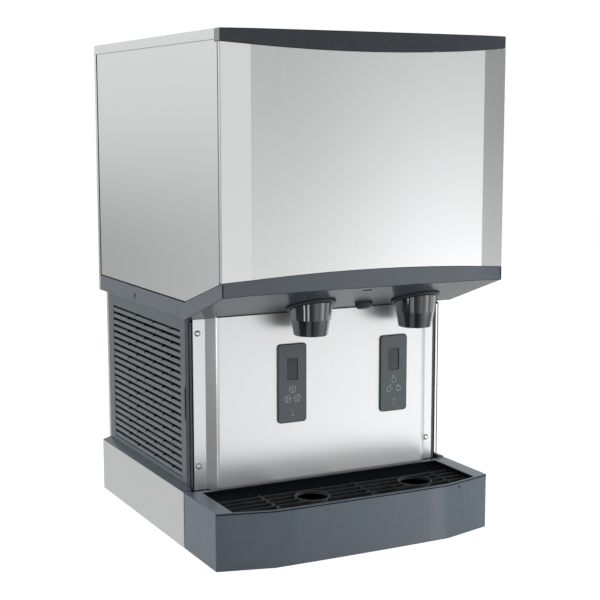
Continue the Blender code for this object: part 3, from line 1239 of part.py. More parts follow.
def make_reservoir(maker):
    """An open tank on four legs, with two ears that carry the float arm's pin."""
    left, right, front, back = RESERVOIR_LEFT, RESERVOIR_RIGHT, at(RESERVOIR_FRONT), at(RESERVOIR_BACK)
    tank = block((left, front, ON_DECK), (right, back, RESERVOIR_TOP))
    tank = piece("water_reservoir", tank, PALE_PLASTIC, maker)
    wall, leg = RESERVOIR_WALL, RESERVOIR_LEG
    cut(tank, block((left + wall, front + wall, RESERVOIR_FLOOR + wall),
                    (right - wall, back - wall, RESERVOIR_TOP + OVERRUN)))
    cut(tank, block((left - OVERRUN, front + leg, ON_DECK - OVERRUN),
                    (right + OVERRUN, back - leg, RESERVOIR_FLOOR)))
    cut(tank, block((left + leg, front - OVERRUN, ON_DECK - OVERRUN),
                    (right - leg, back + OVERRUN, RESERVOIR_FLOOR)))
    for side in (-1, 1):
        places = sorted((FLOAT_X + side * EAR_SPAN, FLOAT_X + side * (EAR_SPAN + EAR_THICKNESS)))
        fuse(tank, block((places[0], back - wall - EAR_REACH, RESERVOIR_TOP - EAR_HEIGHT),
                         (places[1], back - wall / 2, RESERVOIR_TOP)))
    reach = EAR_SPAN + EAR_THICKNESS + OVERRUN
    left, right = FLOAT_X - reach, FLOAT_X + reach
    hole = [(0, left), (PIN_HOLE, left), (PIN_HOLE, right), (0, right)]
    cut(tank, turned(hole, "X", (at(FLOAT_AXIS_SETBACK), FLOAT_AXIS_Z), SMALL_STEPS))


def make_float_arm(maker):
    """A pin, an arm along the tank and the float at its end."""
    axis_y = at(FLOAT_AXIS_SETBACK)
    reach = EAR_SPAN + EAR_THICKNESS
    left, right = FLOAT_X - reach, FLOAT_X + reach
    pin = [(0, left), (PIN_RADIUS, left), (PIN_RADIUS, right), (0, right)]
    arm = piece("float_arm", turned(pin, "X", (axis_y, FLOAT_AXIS_Z), SMALL_STEPS), BLACK_PLASTIC, maker,
                origin=(FLOAT_X, axis_y, FLOAT_AXIS_Z))
    end = at(RESERVOIR_FRONT + RESERVOIR_WALL + FLOAT_ROOM)
    wide = EAR_SPAN - 2 * GAP
    fuse(arm, block((FLOAT_X - wide, end, FLOAT_AXIS_Z - ARM_HALF),
                    (FLOAT_X + wide, axis_y, FLOAT_AXIS_Z + ARM_HALF)))
    top = FLOAT_AXIS_Z - ARM_HALF / 2
    fuse(arm, block((FLOAT_X - FLOAT_HALF, end - FLOAT_HALF / 2, top - FLOAT_HEIGHT),
                    (FLOAT_X + FLOAT_HALF, end + FLOAT_HALF, top)))


# Controls

def make_control_box(maker):
    low = (-BOX_OUTER, at(BOX_FRONT), ON_DECK)
    high = (-BOX_INNER, at(BOX_BACK), BOX_TOP)
    box = piece("control_box", block(low, high), GALVANISED, maker)
    floor = ON_DECK + SHEET
    cut(box, block((low[0] + SHEET, low[1] + SHEET, floor),
                   (high[0] - SHEET, high[1] - SHEET, BOX_TOP + OVERRUN)))
    for x in (low[0] + SHEET, high[0] - SHEET - BOARD_RAIL):
        fuse(box, block((x, low[1] + SHEET / 2, floor - SHEET / 2),
                        (x + BOARD_RAIL, high[1] - SHEET / 2, floor + BOARD_RAIL)))
    margin = SHEET + BOARD_MARGIN
    bottom = floor + BOARD_RAIL + GAP
    top = bottom + BOARD_THICKNESS
    board = piece("circuit_board", block((low[0] + margin, low[1] + margin, bottom),
                                         (high[0] - margin, high[1] - margin, top)), BOARD_GREEN, maker)
    for share in CHIP_SHARES:
        x, y = (low[0] + high[0]) / 2, low[1] + (high[1] - low[1]) * share
        fuse(board, block((x - CHIP_HALF, y - CHIP_HALF, bottom + BOARD_THICKNESS / 2),
                          (x + CHIP_HALF, y + CHIP_HALF, top + CHIP_HEIGHT)))


def make_switches(maker):
    """A housing behind the back panel, with a rocker and a push button that show through it."""
    face = BACK_Y - SHEET - GAP
    low, high = SWITCH_Z - SWITCH_HALF_HEIGHT, SWITCH_Z + SWITCH_HALF_HEIGHT
    left, right = SWITCH_X - SWITCH_HALF_WIDTH, SWITCH_X + SWITCH_HALF_WIDTH
    housing = piece("switch_block", block((left, face - SWITCH_DEPTH, low), (right, face, high)),
                    BLACK_PLASTIC, maker)
    half = ROCKER_HALF_WIDTH + GAP
    cut(housing, block((ROCKER_X - half, BACK_Y - ROCKER_SLOT_DEPTH, SWITCH_Z - ROCKER_SLOT_HALF_HEIGHT),
                       (ROCKER_X + half, BACK_Y, SWITCH_Z + ROCKER_SLOT_HALF_HEIGHT)))
    bore = BUTTON_RADIUS + GAP
    hole = [(0, BACK_Y - BUTTON_SOCKET), (bore, BACK_Y - BUTTON_SOCKET), (bore, BACK_Y), (0, BACK_Y)]
    cut(housing, turned(hole, "Y", (BUTTON_X, SWITCH_Z), SMALL_STEPS))
    outline = [(-ROCKER_BACK, -ROCKER_BACK_HALF), (-ROCKER_RIM, -ROCKER_HALF_HEIGHT), (-ROCKER_DISH, 0),
               (-ROCKER_RIM, ROCKER_HALF_HEIGHT), (-ROCKER_BACK, ROCKER_BACK_HALF)]
    outline = [(BACK_Y + y, SWITCH_Z + z) for y, z in outline]
    piece("power_rocker", prism(outline, "X", ROCKER_X - ROCKER_HALF_WIDTH, ROCKER_X + ROCKER_HALF_WIDTH),
          BLACK_PLASTIC, maker, origin=(ROCKER_X, BACK_Y - ROCKER_AXIS_DEPTH, SWITCH_Z))
    front = BACK_Y - BUTTON_PROUD
    rear = front - BUTTON_LENGTH
    knob = [(0, rear), (BUTTON_RADIUS, rear), (BUTTON_RADIUS, front), (0, front)]
    piece("reset_button", turned(knob, "Y", (BUTTON_X, SWITCH_Z), SMALL_STEPS), GREY_LENS, maker,
          origin=(BUTTON_X, front, SWITCH_Z), smooth=True)


def make_dispense_valve(maker):
    """A solenoid valve on the deck, with its spigot down into the water spout."""
    centre = (WATER_X, at(SPOUT_SETBACK))
    body = block((centre[0] - VALVE_HALF_WIDTH, centre[1] - VALVE_HALF_DEPTH, ON_DECK),
                 (centre[0] + VALVE_HALF_WIDTH, centre[1] + VALVE_HALF_DEPTH, ON_DECK + VALVE_HEIGHT))
    valve = piece("dispense_valve", body, BLACK_PLASTIC, maker)
    low, inside = VALVE_SPIGOT_LOW, ON_DECK + VALVE_HEIGHT / 2
    stem = [(0, low), (VALVE_SPIGOT, low), (VALVE_SPIGOT, inside), (COIL_RADIUS, inside),
            (COIL_RADIUS, COIL_TOP), (0, COIL_TOP)]
    fuse(valve, turned(stem, "Z", centre, SMALL_STEPS))


# Cooling

def make_compressor(cooling):
    centre = (AUGER_X, at(COMPRESSOR_SETBACK))
    low = PAN_TOP + COMPRESSOR_FOOT_HEIGHT / 2
    top, shoulder = COMPRESSOR_TOP, COMPRESSOR_SHOULDER
    shell = [(0, low), (COMPRESSOR_NECK, low), (COMPRESSOR_RADIUS, low + shoulder),
             (COMPRESSOR_RADIUS, top - shoulder), (COMPRESSOR_NECK, top - shoulder / 4), (0, top)]
    compressor = piece("compressor", turned(shell, "Z", centre), BLACK_PAINT, cooling, smooth=True)
    fuse(compressor, block((centre[0] - COMPRESSOR_FOOT_X, centre[1] - COMPRESSOR_FOOT_Y, PAN_TOP),
                           (centre[0] + COMPRESSOR_FOOT_X, centre[1] + COMPRESSOR_FOOT_Y,
                            PAN_TOP + COMPRESSOR_FOOT_HEIGHT)))


def make_condenser(cooling):
    """Fins both sides of a spine, behind the air filter."""
    outer, inner = -CONDENSER_OUTER, -CONDENSER_OUTER + CONDENSER_THICKNESS
    middle = (outer + inner) / 2
    pitch = (CONDENSER_BACK - CONDENSER_FRONT) / (2 * CONDENSER_FINS - 1)
    left, right = [], []
    for fin in range(CONDENSER_FINS):
        start = at(CONDENSER_FRONT + 2 * fin * pitch)
        end = start + pitch
        for edge, tip, root in ((left, outer, middle - CONDENSER_SPINE / 2),
                                (right, inner, middle + CONDENSER_SPINE / 2)):
            edge += [(root, start)] if fin else []
            edge += [(tip, start), (tip, end)]
            edge += [(root, end)] if fin < CONDENSER_FINS - 1 else []
    piece("condenser", prism(left + right[::-1], "Z", PAN_TOP, CONDENSER_TOP), ALUMINIUM, cooling)


def make_fan_shroud(cooling):
    """A shallow box against the condenser, with a round mouth for the fan."""
    front, back = at(CONDENSER_FRONT), at(CONDENSER_BACK)
    box = block((-SHROUD_OUTER, front, PAN_TOP), (-SHROUD_FACE, back, CONDENSER_TOP))
    shroud = piece("fan_shroud", box, GALVANISED, cooling)
    wall = SHROUD_WALL
    cut(shroud, block((-SHROUD_OUTER - OVERRUN, front + wall, PAN_TOP + wall),
                      (-SHROUD_FACE - wall, back - wall, CONDENSER_TOP - wall)))
    low, high = -SHROUD_FACE - wall - OVERRUN, -SHROUD_FACE + OVERRUN
    mouth = [(0, low), (SHROUD_HOLE, low), (SHROUD_HOLE, high), (0, high)]
    cut(shroud, turned(mouth, "X", (at(FAN_SETBACK), FAN_HEIGHT)))


def fan_blade(turn):
    """One blade, its chord wider and flatter towards the tip."""
    sections = []
    middle = FAN_X + FAN_HUB_LENGTH / 2
    for radius, chord, pitch in ((FAN_HUB / 2, BLADE_ROOT_CHORD, BLADE_ROOT_PITCH),
                                 (FAN_RADIUS, BLADE_TIP_CHORD, BLADE_TIP_PITCH)):
        corners = []
        for along, up in ((-1, -1), (1, -1), (1, 1), (-1, 1)):
            run, rise = along * chord / 2, up * BLADE_THICKNESS / 2
            axial = run * math.sin(pitch) + rise * math.cos(pitch)
            across = run * math.cos(pitch) - rise * math.sin(pitch)
            y = radius * math.cos(turn) - across * math.sin(turn)
            z = radius * math.sin(turn) + across * math.cos(turn)
            corners.append((middle + axial, at(FAN_SETBACK) + y, FAN_HEIGHT + z))
        sections.append(corners)
    return lofted(sections)


def make_fan(cooling):
    centre = (at(FAN_SETBACK), FAN_HEIGHT)
    end = FAN_HUB_END + FAN_SHAFT_LENGTH
    hub = [(0, FAN_X), (FAN_HUB, FAN_X), (FAN_HUB, FAN_HUB_END), (FAN_SHAFT, FAN_HUB_END),
           (FAN_SHAFT, end), (0, end)]
    fan = piece("fan_blade", turned(hub, "X", centre), BLACK_PLASTIC, cooling, origin=(FAN_X, *centre))
    for blade in range(FAN_BLADES):
        fuse(fan, fan_blade(2 * math.pi * blade / FAN_BLADES))
    start = end - FAN_SOCKET + GAP
    stop, bore = start + FAN_MOTOR_LENGTH, FAN_SHAFT + RUNNING_CLEARANCE
    case = [(0, start + FAN_SOCKET), (bore, start + FAN_SOCKET), (bore, start), (FAN_MOTOR_RADIUS, start),
            (FAN_MOTOR_RADIUS, stop), (0, stop)]
    motor = piece("fan_motor", turned(case, "X", centre), BLACK_PAINT, cooling, smooth=True)
    middle = (start + stop) / 2
    half, foot = FAN_STALK_HALF, PAN_TOP + FAN_FOOT_THICKNESS
    fuse(motor, block((middle - half, centre[0] - half, foot - FAN_FOOT_THICKNESS / 2),
                      (middle + half, centre[0] + half, FAN_HEIGHT - FAN_MOTOR_RADIUS / 2)))
    fuse(motor, block((middle - FAN_FOOT_HALF, centre[0] - FAN_FOOT_HALF, PAN_TOP),
                      (middle + FAN_FOOT_HALF, centre[0] + FAN_FOOT_HALF, foot)))


def make_lines(cooling):
    """Copper lines: compressor to condenser, and evaporator back to compressor."""
    compressor_back = at(COMPRESSOR_SETBACK + COMPRESSOR_RADIUS) + GAP
    coil_x = -CONDENSER_OUTER + CONDENSER_THICKNESS / 2
    rear = at(LINE_BACK)
    discharge = [(AUGER_X, compressor_back, LINE_LOW), (AUGER_X, rear, LINE_LOW), (coil_x, rear, LINE_LOW),
                 (coil_x, rear, LINE_HIGH), (coil_x, at(CONDENSER_BACK) + GAP, LINE_HIGH)]
    line = piped(rounded_route(discharge, LINE_BEND), LINE_RADIUS)
    piece("discharge_line", line, COPPER, cooling, smooth=True)
    shell_top = COMPRESSOR_TOP + GAP
    turn = shell_top + SUCTION_RISE
    rear = at(SUCTION_SETBACK)
    suction = [(AUGER_X, at(COMPRESSOR_SETBACK), shell_top), (AUGER_X, at(COMPRESSOR_SETBACK), turn),
               (AUGER_X, rear, turn), (AUGER_X, rear, SUCTION_TOP),
               (AUGER_X, at(AUGER_SETBACK + EVAPORATOR_RADIUS) + GAP, SUCTION_TOP)]
    line = piped(rounded_route(suction, LINE_BEND), LINE_RADIUS)
    piece("suction_line", line, COPPER, cooling, smooth=True)


# Rear fittings

def make_rear_ports(base):
    """A plate behind the back panel with the water inlet and the drain stubs."""
    face = BACK_Y - SHEET - GAP
    plate = block((INLET_X - PORT_PLATE_MARGIN, face - PLASTIC, PORT_Z - PORT_PLATE_HALF_HEIGHT),
                  (DRAIN_X + PORT_PLATE_MARGIN, face, PORT_Z + PORT_PLATE_HALF_HEIGHT))
    ports = piece("rear_ports", plate, BLACK_PLASTIC, base)
    end = BACK_Y - PORT_INSET
    start = end - PORT_LENGTH
    for x in (INLET_X, DRAIN_X):
        stub = [(0, start), (PORT_RADIUS, start), (PORT_RADIUS, end), (0, end)]
        fuse(ports, turned(stub, "Y", (x, PORT_Z), SMALL_STEPS))
        low, high = start - OVERRUN, end + OVERRUN
        bore = [(0, low), (PORT_BORE, low), (PORT_BORE, high), (0, high)]
        cut(ports, turned(bore, "Y", (x, PORT_Z), SMALL_STEPS))


def make_power_gland(base):
    face, end = BACK_Y - SHEET - GAP, BACK_Y - PORT_INSET
    start = face - GLAND_LENGTH
    profile = [(GLAND_BORE, start), (GLAND_NUT, start), (GLAND_NUT, face), (GLAND_RADIUS, face),
               (GLAND_RADIUS, end), (GLAND_BORE, end)]
    gland = turned(profile, "Y", (GLAND_X, GLAND_Z), SMALL_STEPS)
    piece("power_gland", gland, BLACK_PLASTIC, base, smooth=True)


def clear_scene():
    for item in list(bpy.context.scene.objects):
        bpy.data.objects.remove(item)


def main():
    clear_scene()
    cabinet, base, bay = group("upper_cabinet"), group("lower_cabinet"), group("vend_bay")
    store, maker, cooling = group("ice_store"), group("ice_maker"), group("cooling")
    make_front_panel(cabinet)
    make_top_trim(cabinet)
    make_top_cover(cabinet)
    make_lower_fascia(cabinet)
    make_back_panel(cabinet)
    make_mid_deck(cabinet)
    for side, word in ((-1, "left"), (1, "right")):
        make_side_trim(cabinet, side, f"side_trim_{word}")
        make_side_panel(cabinet, side, f"side_panel_{word}")
        make_skirt(base, side, f"skirt_{word}")
        make_ledge(base, side, f"ledge_{word}")
        make_post(base, side, f"post_{word}")
        make_louvre_panel(base, side, f"louvre_panel_{word}")
    make_base_pan(base)
    make_air_filter(base)
    make_rear_ports(base)
    make_power_gland(base)
    make_drip_tray(base)
    make_drip_grille(base)
    make_splash_panel(bay)
    make_sensor(bay, ICE_SENSOR_X, "ice")
    make_sensor(bay, WATER_SENSOR_X, "water")
    make_spout(bay, ICE_X, "ice", BIN_FLOOR)
    make_spout(bay, WATER_X, "water", DECK_HEIGHT - GAP)
    make_bay_light(bay)
    make_ice_bin(store)
    make_bin_lid(store)
    make_agitator(store)
    make_agitator_motor(store)
    make_gearcase(maker)
    make_gears(maker)
    make_auger(maker)
    make_evaporator(maker)
    make_auger_motor(maker)
    make_ice_tube(maker)
    make_reservoir(maker)
    make_float_arm(maker)
    make_control_box(maker)
    make_switches(maker)
    make_dispense_valve(maker)
    make_compressor(cooling)
    make_condenser(cooling)
    make_fan_shroud(cooling)
    make_fan(cooling)
    make_lines(cooling)


main()
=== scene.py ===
"""Looks for the countertop ice and water dispenser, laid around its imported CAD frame."""

import json
import math

import bmesh
import bpy
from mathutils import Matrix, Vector


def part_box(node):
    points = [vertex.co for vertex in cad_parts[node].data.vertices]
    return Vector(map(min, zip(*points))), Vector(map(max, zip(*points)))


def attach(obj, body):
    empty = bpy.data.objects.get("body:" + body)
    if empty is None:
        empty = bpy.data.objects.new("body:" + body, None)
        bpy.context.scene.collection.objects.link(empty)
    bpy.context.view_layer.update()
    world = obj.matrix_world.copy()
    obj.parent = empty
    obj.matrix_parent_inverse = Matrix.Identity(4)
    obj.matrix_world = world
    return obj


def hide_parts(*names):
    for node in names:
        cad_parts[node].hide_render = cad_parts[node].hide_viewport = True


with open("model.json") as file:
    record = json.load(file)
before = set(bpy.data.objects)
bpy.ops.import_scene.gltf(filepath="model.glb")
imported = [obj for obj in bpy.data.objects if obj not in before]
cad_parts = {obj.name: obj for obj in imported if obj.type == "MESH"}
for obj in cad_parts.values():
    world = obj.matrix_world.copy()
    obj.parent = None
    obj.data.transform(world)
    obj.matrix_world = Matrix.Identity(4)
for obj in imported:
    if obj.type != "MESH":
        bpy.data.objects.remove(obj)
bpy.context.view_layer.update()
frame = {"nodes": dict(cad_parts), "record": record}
nodes = frame["nodes"]
record = frame["record"]
body_of = {node: body for body, members in record["behaviour"]["bodies"].items() for node in members}
slot_of = {part["node"]: part["material_slot"] for part in record["subparts"]}

# Camera, solved from the photograph's corners
CAMERA_PLACE = (-1.10495, -2.20273, 0.74954)
CAMERA_TURN = [math.radians(angle) for angle in (82.076, 0.063, -27.105)]
CAMERA_LENS = 79.17
SENSOR = 36

# Fineness
WELD = 0.00001
FLAT_ANGLE = math.radians(0.1)
EDGE_ANGLE = math.radians(28)
FOLD_ANGLE = math.radians(4)
SHARP_ANGLE = math.radians(38)
SHEET_EDGE = 0.0006
SHEET_BEND = 0.0016
MOULDED_EDGE = 0.0012
CAST_EDGE = 0.002
LINE = 0.0009
THIN_LINE = 0.0003
TURN_STEPS = 40
CORNER_STEPS = 5


# Objects and nodes

def placed_object(name, data):
    obj = bpy.data.objects.new(name, data)
    bpy.context.scene.collection.objects.link(obj)
    return obj


def mesh_object(name, bm):
    mesh = bpy.data.meshes.new(name)
    bm.to_mesh(mesh)
    bm.free()
    return placed_object(name, mesh)


def new_node(tree, kind, inputs=None, **settings):
    """A node with its settings, and its inputs set to values or joined to sockets."""
    node = tree.nodes.new(kind)
    for name, value in settings.items():
        setattr(node, name, value)
    for name, value in (inputs or {}).items():
        if isinstance(value, bpy.types.NodeSocket):
            tree.links.new(value, node.inputs[name])
        else:
            node.inputs[name].default_value = value
    return node


def made(tree, kind, inputs=None, **settings):
    """The first output of a new node."""
    return new_node(tree, kind, inputs, **settings).outputs[0]


def arithmetic(tree, operation, *values, clamp=False):
    return made(tree, "ShaderNodeMath", dict(enumerate(values)), operation=operation, use_clamp=clamp)


def blend_colours(tree, share, first, second):
    return new_node(tree, "ShaderNodeMix", {0: share, 6: first, 7: second}, data_type="RGBA").outputs[2]


def blend_shaders(tree, share, first, second):
    return made(tree, "ShaderNodeMixShader", {0: share, 1: first, 2: second})


def blend_values(tree, share, first, second):
    return made(tree, "ShaderNodeMix", {0: share, 2: first, 3: second}, data_type="FLOAT")


def ranged(tree, value, start, end, low=0.0, high=1.0):
    """A value between start and end, spread from low to high."""
    return made(tree, "ShaderNodeMapRange",
                {"Value": value, "From Min": start, "From Max": end, "To Min": low, "To Max": high})


def noise(tree, coordinates, scale, detail=2.0, roughness=0.5):
    inputs = {"Vector": coordinates, "Scale": scale, "Detail": detail, "Roughness": roughness}
    return new_node(tree, "ShaderNodeTexNoise", inputs).outputs["Fac"]


# Effects that the finishes share

WEAR_SCALE = 60.0


def effect_group(name, values, results):
    """A shader node group with coordinates, named values and the masks that it puts out."""
    group = bpy.data.node_groups.new(name, "ShaderNodeTree")
    group.interface.new_socket("Coordinates", in_out="INPUT", socket_type="NodeSocketVector")
    for label, default in values.items():
        kind = "NodeSocketVector" if isinstance(default, tuple) else "NodeSocketFloat"
        group.interface.new_socket(label, in_out="INPUT", socket_type=kind).default_value = default
    for label in results:
        group.interface.new_socket(label, in_out="OUTPUT", socket_type="NodeSocketFloat")
    return group, group.nodes.new("NodeGroupInput").outputs, group.nodes.new("NodeGroupOutput").inputs


def make_grain_effect():
    """Long fine streaks, as a polishing belt leaves them, with soft clouds of handling over them."""
    group, given, result = effect_group(
        "belt_grain", {"Stretch": (700, 700, 5), "Cloud Scale": 4.0}, ("Streaks", "Clouds"))
    stretched = made(group, "ShaderNodeVectorMath", {0: given["Coordinates"], 1: given["Stretch"]},
                     operation="MULTIPLY")
    group.links.new(noise(group, stretched, 1.0, detail=4.0, roughness=0.6), result["Streaks"])
    group.links.new(noise(group, given["Coordinates"], given["Cloud Scale"], detail=3.0), result["Clouds"])
    return group


def make_moulding_effect():
    """The fine pebbled skin of moulded plastic and its slow changes of tone."""
    group, given, result = effect_group(
        "moulded_skin", {"Pebble Scale": 1400.0, "Tone Scale": 6.0}, ("Pebbles", "Tone"))
    pebbles = made(group, "ShaderNodeTexVoronoi",
                   {"Vector": given["Coordinates"], "Scale": given["Pebble Scale"]}, feature="SMOOTH_F1")
    group.links.new(pebbles, result["Pebbles"])
    group.links.new(noise(group, given["Coordinates"], given["Tone Scale"], detail=4.0), result["Tone"])
    return group


def make_rubbed_edge_effect():
    """A mask of the outer edges, broken up by noise, where hands and cloths polish a piece."""
    group, given, result = effect_group("rubbed_edges", {"Sharpness": 9.0}, ("Edges",))
    bend = group.nodes.new("ShaderNodeNewGeometry").outputs["Pointiness"]
    raised = arithmetic(group, "MULTIPLY", arithmetic(group, "SUBTRACT", bend, 0.5), given["Sharpness"])
    wear = noise(group, given["Coordinates"], WEAR_SCALE)
    broken = arithmetic(group, "MULTIPLY", raised, wear, clamp=True)
    group.links.new(broken, result["Edges"])
    return group


def make_dust_effect():
    """Dust that lies on what faces up, thicker in some places than in others."""
    group, given, result = effect_group("settled_dust", {"Patch Scale": 18.0}, ("Dust",))
    normal = group.nodes.new("ShaderNodeNewGeometry").outputs["Normal"]
    up = new_node(group, "ShaderNodeSeparateXYZ", {"Vector": normal}).outputs["Z"]
    patches = noise(group, given["Coordinates"], given["Patch Scale"], detail=5.0)
    group.links.new(arithmetic(group, "MULTIPLY", up, patches, clamp=True), result["Dust"])
    return group


GRAIN = make_grain_effect()
MOULDING = make_moulding_effect()
RUBBED = make_rubbed_edge_effect()
DUST = make_dust_effect()
DUST_COLOUR = (0.42, 0.41, 0.39, 1)
CLOUD_SHARE = 0.04
STREAK_SHARE = 0.1
TONE_SHARE = 0.15
WORN_SHARE = 0.25
PEBBLE_DEPTH = 0.0002
COAT_ROUGHNESS = 0.06


# Finishes

def placed(tree, group, coordinates, **values):
    """The outputs of a shared effect in one material, with its own values."""
    node = new_node(tree, "ShaderNodeGroup", node_tree=group)
    tree.links.new(coordinates, node.inputs["Coordinates"])
    for name, value in values.items():
        node.inputs[name.replace("_", " ").title()].default_value = value
    return node.outputs


def new_material(name):
    """A material with its Principled shader and its object coordinates."""
    material = bpy.data.materials.new(name)
    material.use_nodes = True
    tree = material.node_tree
    coordinates = tree.nodes.new("ShaderNodeTexCoord").outputs["Object"]
    return material, tree, tree.nodes["Principled BSDF"].inputs, coordinates


def toned(colour, change):
    """An opaque colour, darker or lighter than the given one by a share."""
    return [min(1, channel * (1 + change)) for channel in colour] + [1]


def uneven(tree, value, roughness, share):
    """A roughness that a value from 0 to 1 lowers or raises by a share."""
    return ranged(tree, value, 0.0, 1.0, roughness * (1 - share), roughness * (1 + share))


def metal(name, colour, roughness, stretch=(900, 900, 4), contrast=0.03, bare=1.0):
    """Bare or plated metal with a belt grain. A lower bare share mixes in a pale matt part that lightens it.
    """
    material, tree, shader, coordinates = new_material(name)
    shader["Metallic"].default_value = bare
    grain = placed(tree, GRAIN, coordinates, stretch=stretch)
    coloured = blend_colours(tree, grain["Streaks"], toned(colour, -contrast), toned(colour, contrast))
    tree.links.new(coloured, shader["Base Color"])
    streaked = uneven(tree, grain["Streaks"], roughness, STREAK_SHARE)
    clouded = arithmetic(tree, "MULTIPLY_ADD", grain["Clouds"], CLOUD_SHARE, streaked)
    tree.links.new(clouded, shader["Roughness"])
    return material


def plastic(name, colour, roughness, tone=0.10, edge=0.35, pebble_scale=1400.0, relief=0.10, dust=0.0,
            gloss=0.0, shine=0.5):
    """Moulded plastic with a pebbled skin, rubbed edges and, on sheltered pieces, some dust."""
    material, tree, shader, coordinates = new_material(name)
    skin = placed(tree, MOULDING, coordinates, pebble_scale=pebble_scale)
    coloured = blend_colours(tree, skin["Tone"], toned(colour, -tone), toned(colour, tone))
    if edge:
        share = arithmetic(tree, "MULTIPLY", placed(tree, RUBBED, coordinates)["Edges"], edge)
        worn = [channel + (1 - channel) * WORN_SHARE for channel in colour] + [1]
        coloured = blend_colours(tree, share, coloured, worn)
    if dust:
        share = arithmetic(tree, "MULTIPLY", placed(tree, DUST, coordinates)["Dust"], dust)
        coloured = blend_colours(tree, share, coloured, DUST_COLOUR)
    tree.links.new(coloured, shader["Base Color"])
    tree.links.new(uneven(tree, skin["Tone"], roughness, TONE_SHARE), shader["Roughness"])
    shader["Specular IOR Level"].default_value = shine
    shader["Coat Weight"].default_value = gloss
    shader["Coat Roughness"].default_value = COAT_ROUGHNESS
    if relief:
        bump = made(tree, "ShaderNodeBump",
                    {"Height": skin["Pebbles"], "Strength": relief, "Distance": PEBBLE_DEPTH})
        tree.links.new(bump, shader["Normal"])
    return material


FINISHES = {
    "stainless": metal("satin_stainless", (0.74, 0.745, 0.75), 0.24),
    "grey_plastic": plastic("slate_moulding", (0.062, 0.086, 0.105), 0.30, shine=0.8),
    "dark_plastic": plastic("graphite_moulding", (0.035, 0.044, 0.053), 0.34, shine=0.3),
    "black_plastic": plastic("gloss_black_moulding", (0.009, 0.0145, 0.019), 0.10, relief=0.0, gloss=1.0),
    "bar_plastic": plastic("matt_black_moulding", (0.006, 0.008, 0.010), 0.42, shine=0.08, edge=0.0),
    "pale_plastic": plastic("food_safe_white_plastic", (0.70, 0.72, 0.73), 0.40, tone=0.04, dust=0.2),
    "sensor_lens": plastic("smoked_lens", (0.020, 0.028, 0.030), 0.14, relief=0.0, shine=0.4),
    "galvanised": metal("zinc_coated_sheet", (0.55, 0.57, 0.58), 0.42, (60, 60, 60), 0.2),
    "copper": metal("drawn_copper", (0.72, 0.36, 0.22), 0.28, (90, 90, 90), 0.2),
    "gear_steel": metal("machined_steel", (0.42, 0.42, 0.43), 0.30, (500, 500, 500), 0.1),
    "black_paint": plastic("black_enamel", (0.018, 0.018, 0.020), 0.30, relief=0.05, dust=0.3),
    "aluminium": metal("mill_aluminium", (0.72, 0.73, 0.75), 0.36, (300, 300, 20), 0.06),
    "board": plastic("circuit_board_green", (0.020, 0.13, 0.055), 0.35, pebble_scale=500.0),
}
# The splash's steel: a rougher brushing of its own, and a paler colour and matt share that paint extra light
# on it.
LIT_SPLASH_STEEL = metal("brushed_splash_steel_painted_light", (0.785, 0.788, 0.795), 0.34, bare=0.88)
UNDERSIDE_SKIN = plastic("polished_slate_moulding", (0.062, 0.085, 0.103), 0.24, relief=0.03, shine=0.18)
TRAY_SKIN = plastic("tray_slate_moulding", (0.082, 0.116, 0.148), 0.28, shine=0.6)
FLANGE_SKIN = plastic("matt_graphite_moulding", (0.060, 0.074, 0.080), 0.34, shine=0.15, edge=0.0)
# A much paler copy of the trim's moulding: painted light on the top trim's end faces, where the side lamp
# falls.
LIT_END_SKIN = plastic("painted_light_slate_moulding", (0.20, 0.235, 0.235), 0.42)
GRILLE_BAR_SKIN = plastic("black_bar_moulding", (0.012, 0.016, 0.018), 0.45, shine=0.03, edge=0.2)
SILL_SKIN = plastic("dull_black_moulding", (0.008, 0.011, 0.012), 0.60, shine=0.0, edge=0.0)
GRILLE_EDGE = plastic("worn_black_moulding", (0.030, 0.037, 0.040), 0.40, shine=0.05, edge=0.4)
LEDGE_SKIN = plastic("shaded_slate_moulding", (0.049, 0.072, 0.087), 0.34)
# A darker copy of the slate for the louvre panels: painted shade, as the louvres sit in shadow.
SHADED_LOUVRE_SKIN = plastic("shaded_louvre_slate_moulding", (0.052, 0.072, 0.087), 0.32, shine=0.7)
POST_SKIN = plastic("charcoal_moulding", (0.045, 0.057, 0.068), 0.36)
SENSOR_LABEL = plastic("sensor_label_film", (0.098, 0.121, 0.128), 0.30, relief=0.04, edge=0.0)
SIGN_PRINT = plastic("pale_print", (0.60, 0.64, 0.66), 0.45, tone=0.03, edge=0.0)


# Outlines

AXES = {"X": lambda u, v, w: (w, u, v), "Y": lambda u, v, w: (u, w, v), "Z": lambda u, v, w: (u, v, w)}


def turns(steps, start=0.0, span=None):
    """Angles in even steps: an arc with both its ends, or a whole turn without its last."""
    if span is None:
        return [2 * math.pi * step / steps for step in range(steps)]
    return [start + span * step / steps for step in range(steps + 1)]


def circle(radius, steps):
    return [(radius * math.cos(turn), radius * math.sin(turn)) for turn in turns(steps)]


def rectangle(u, v):
    return [(u[0], v[0]), (u[1], v[0]), (u[1], v[1]), (u[0], v[1])]


def rounded_outline(low, high, radius):
    """A rectangle's outline with round corners."""
    points = []
    corners = rectangle((high[0] - radius, low[0] + radius), (high[1] - radius, low[1] + radius))
    for quarter, (u, v) in enumerate(corners):
        for step in range(CORNER_STEPS + 1):
            turn = math.pi / 2 * (quarter + step / CORNER_STEPS)
            points.append((u + radius * math.cos(turn), v + radius * math.sin(turn)))
    return points


def front_outline(box, grown, radius):
    """A box's outline seen from the front, grown by a width, with round corners."""
    low, high = box
    return rounded_outline((low.x - grown, low.z - grown), (high.x + grown, high.z + grown), radius)


# Meshes

def joined_copy(name):
    """A CAD node's mesh with its loose triangles joined."""
    bm = bmesh.new()
    bm.from_mesh(nodes[name].data)
    bmesh.ops.remove_doubles(bm, verts=bm.verts, dist=WELD)
    return bm


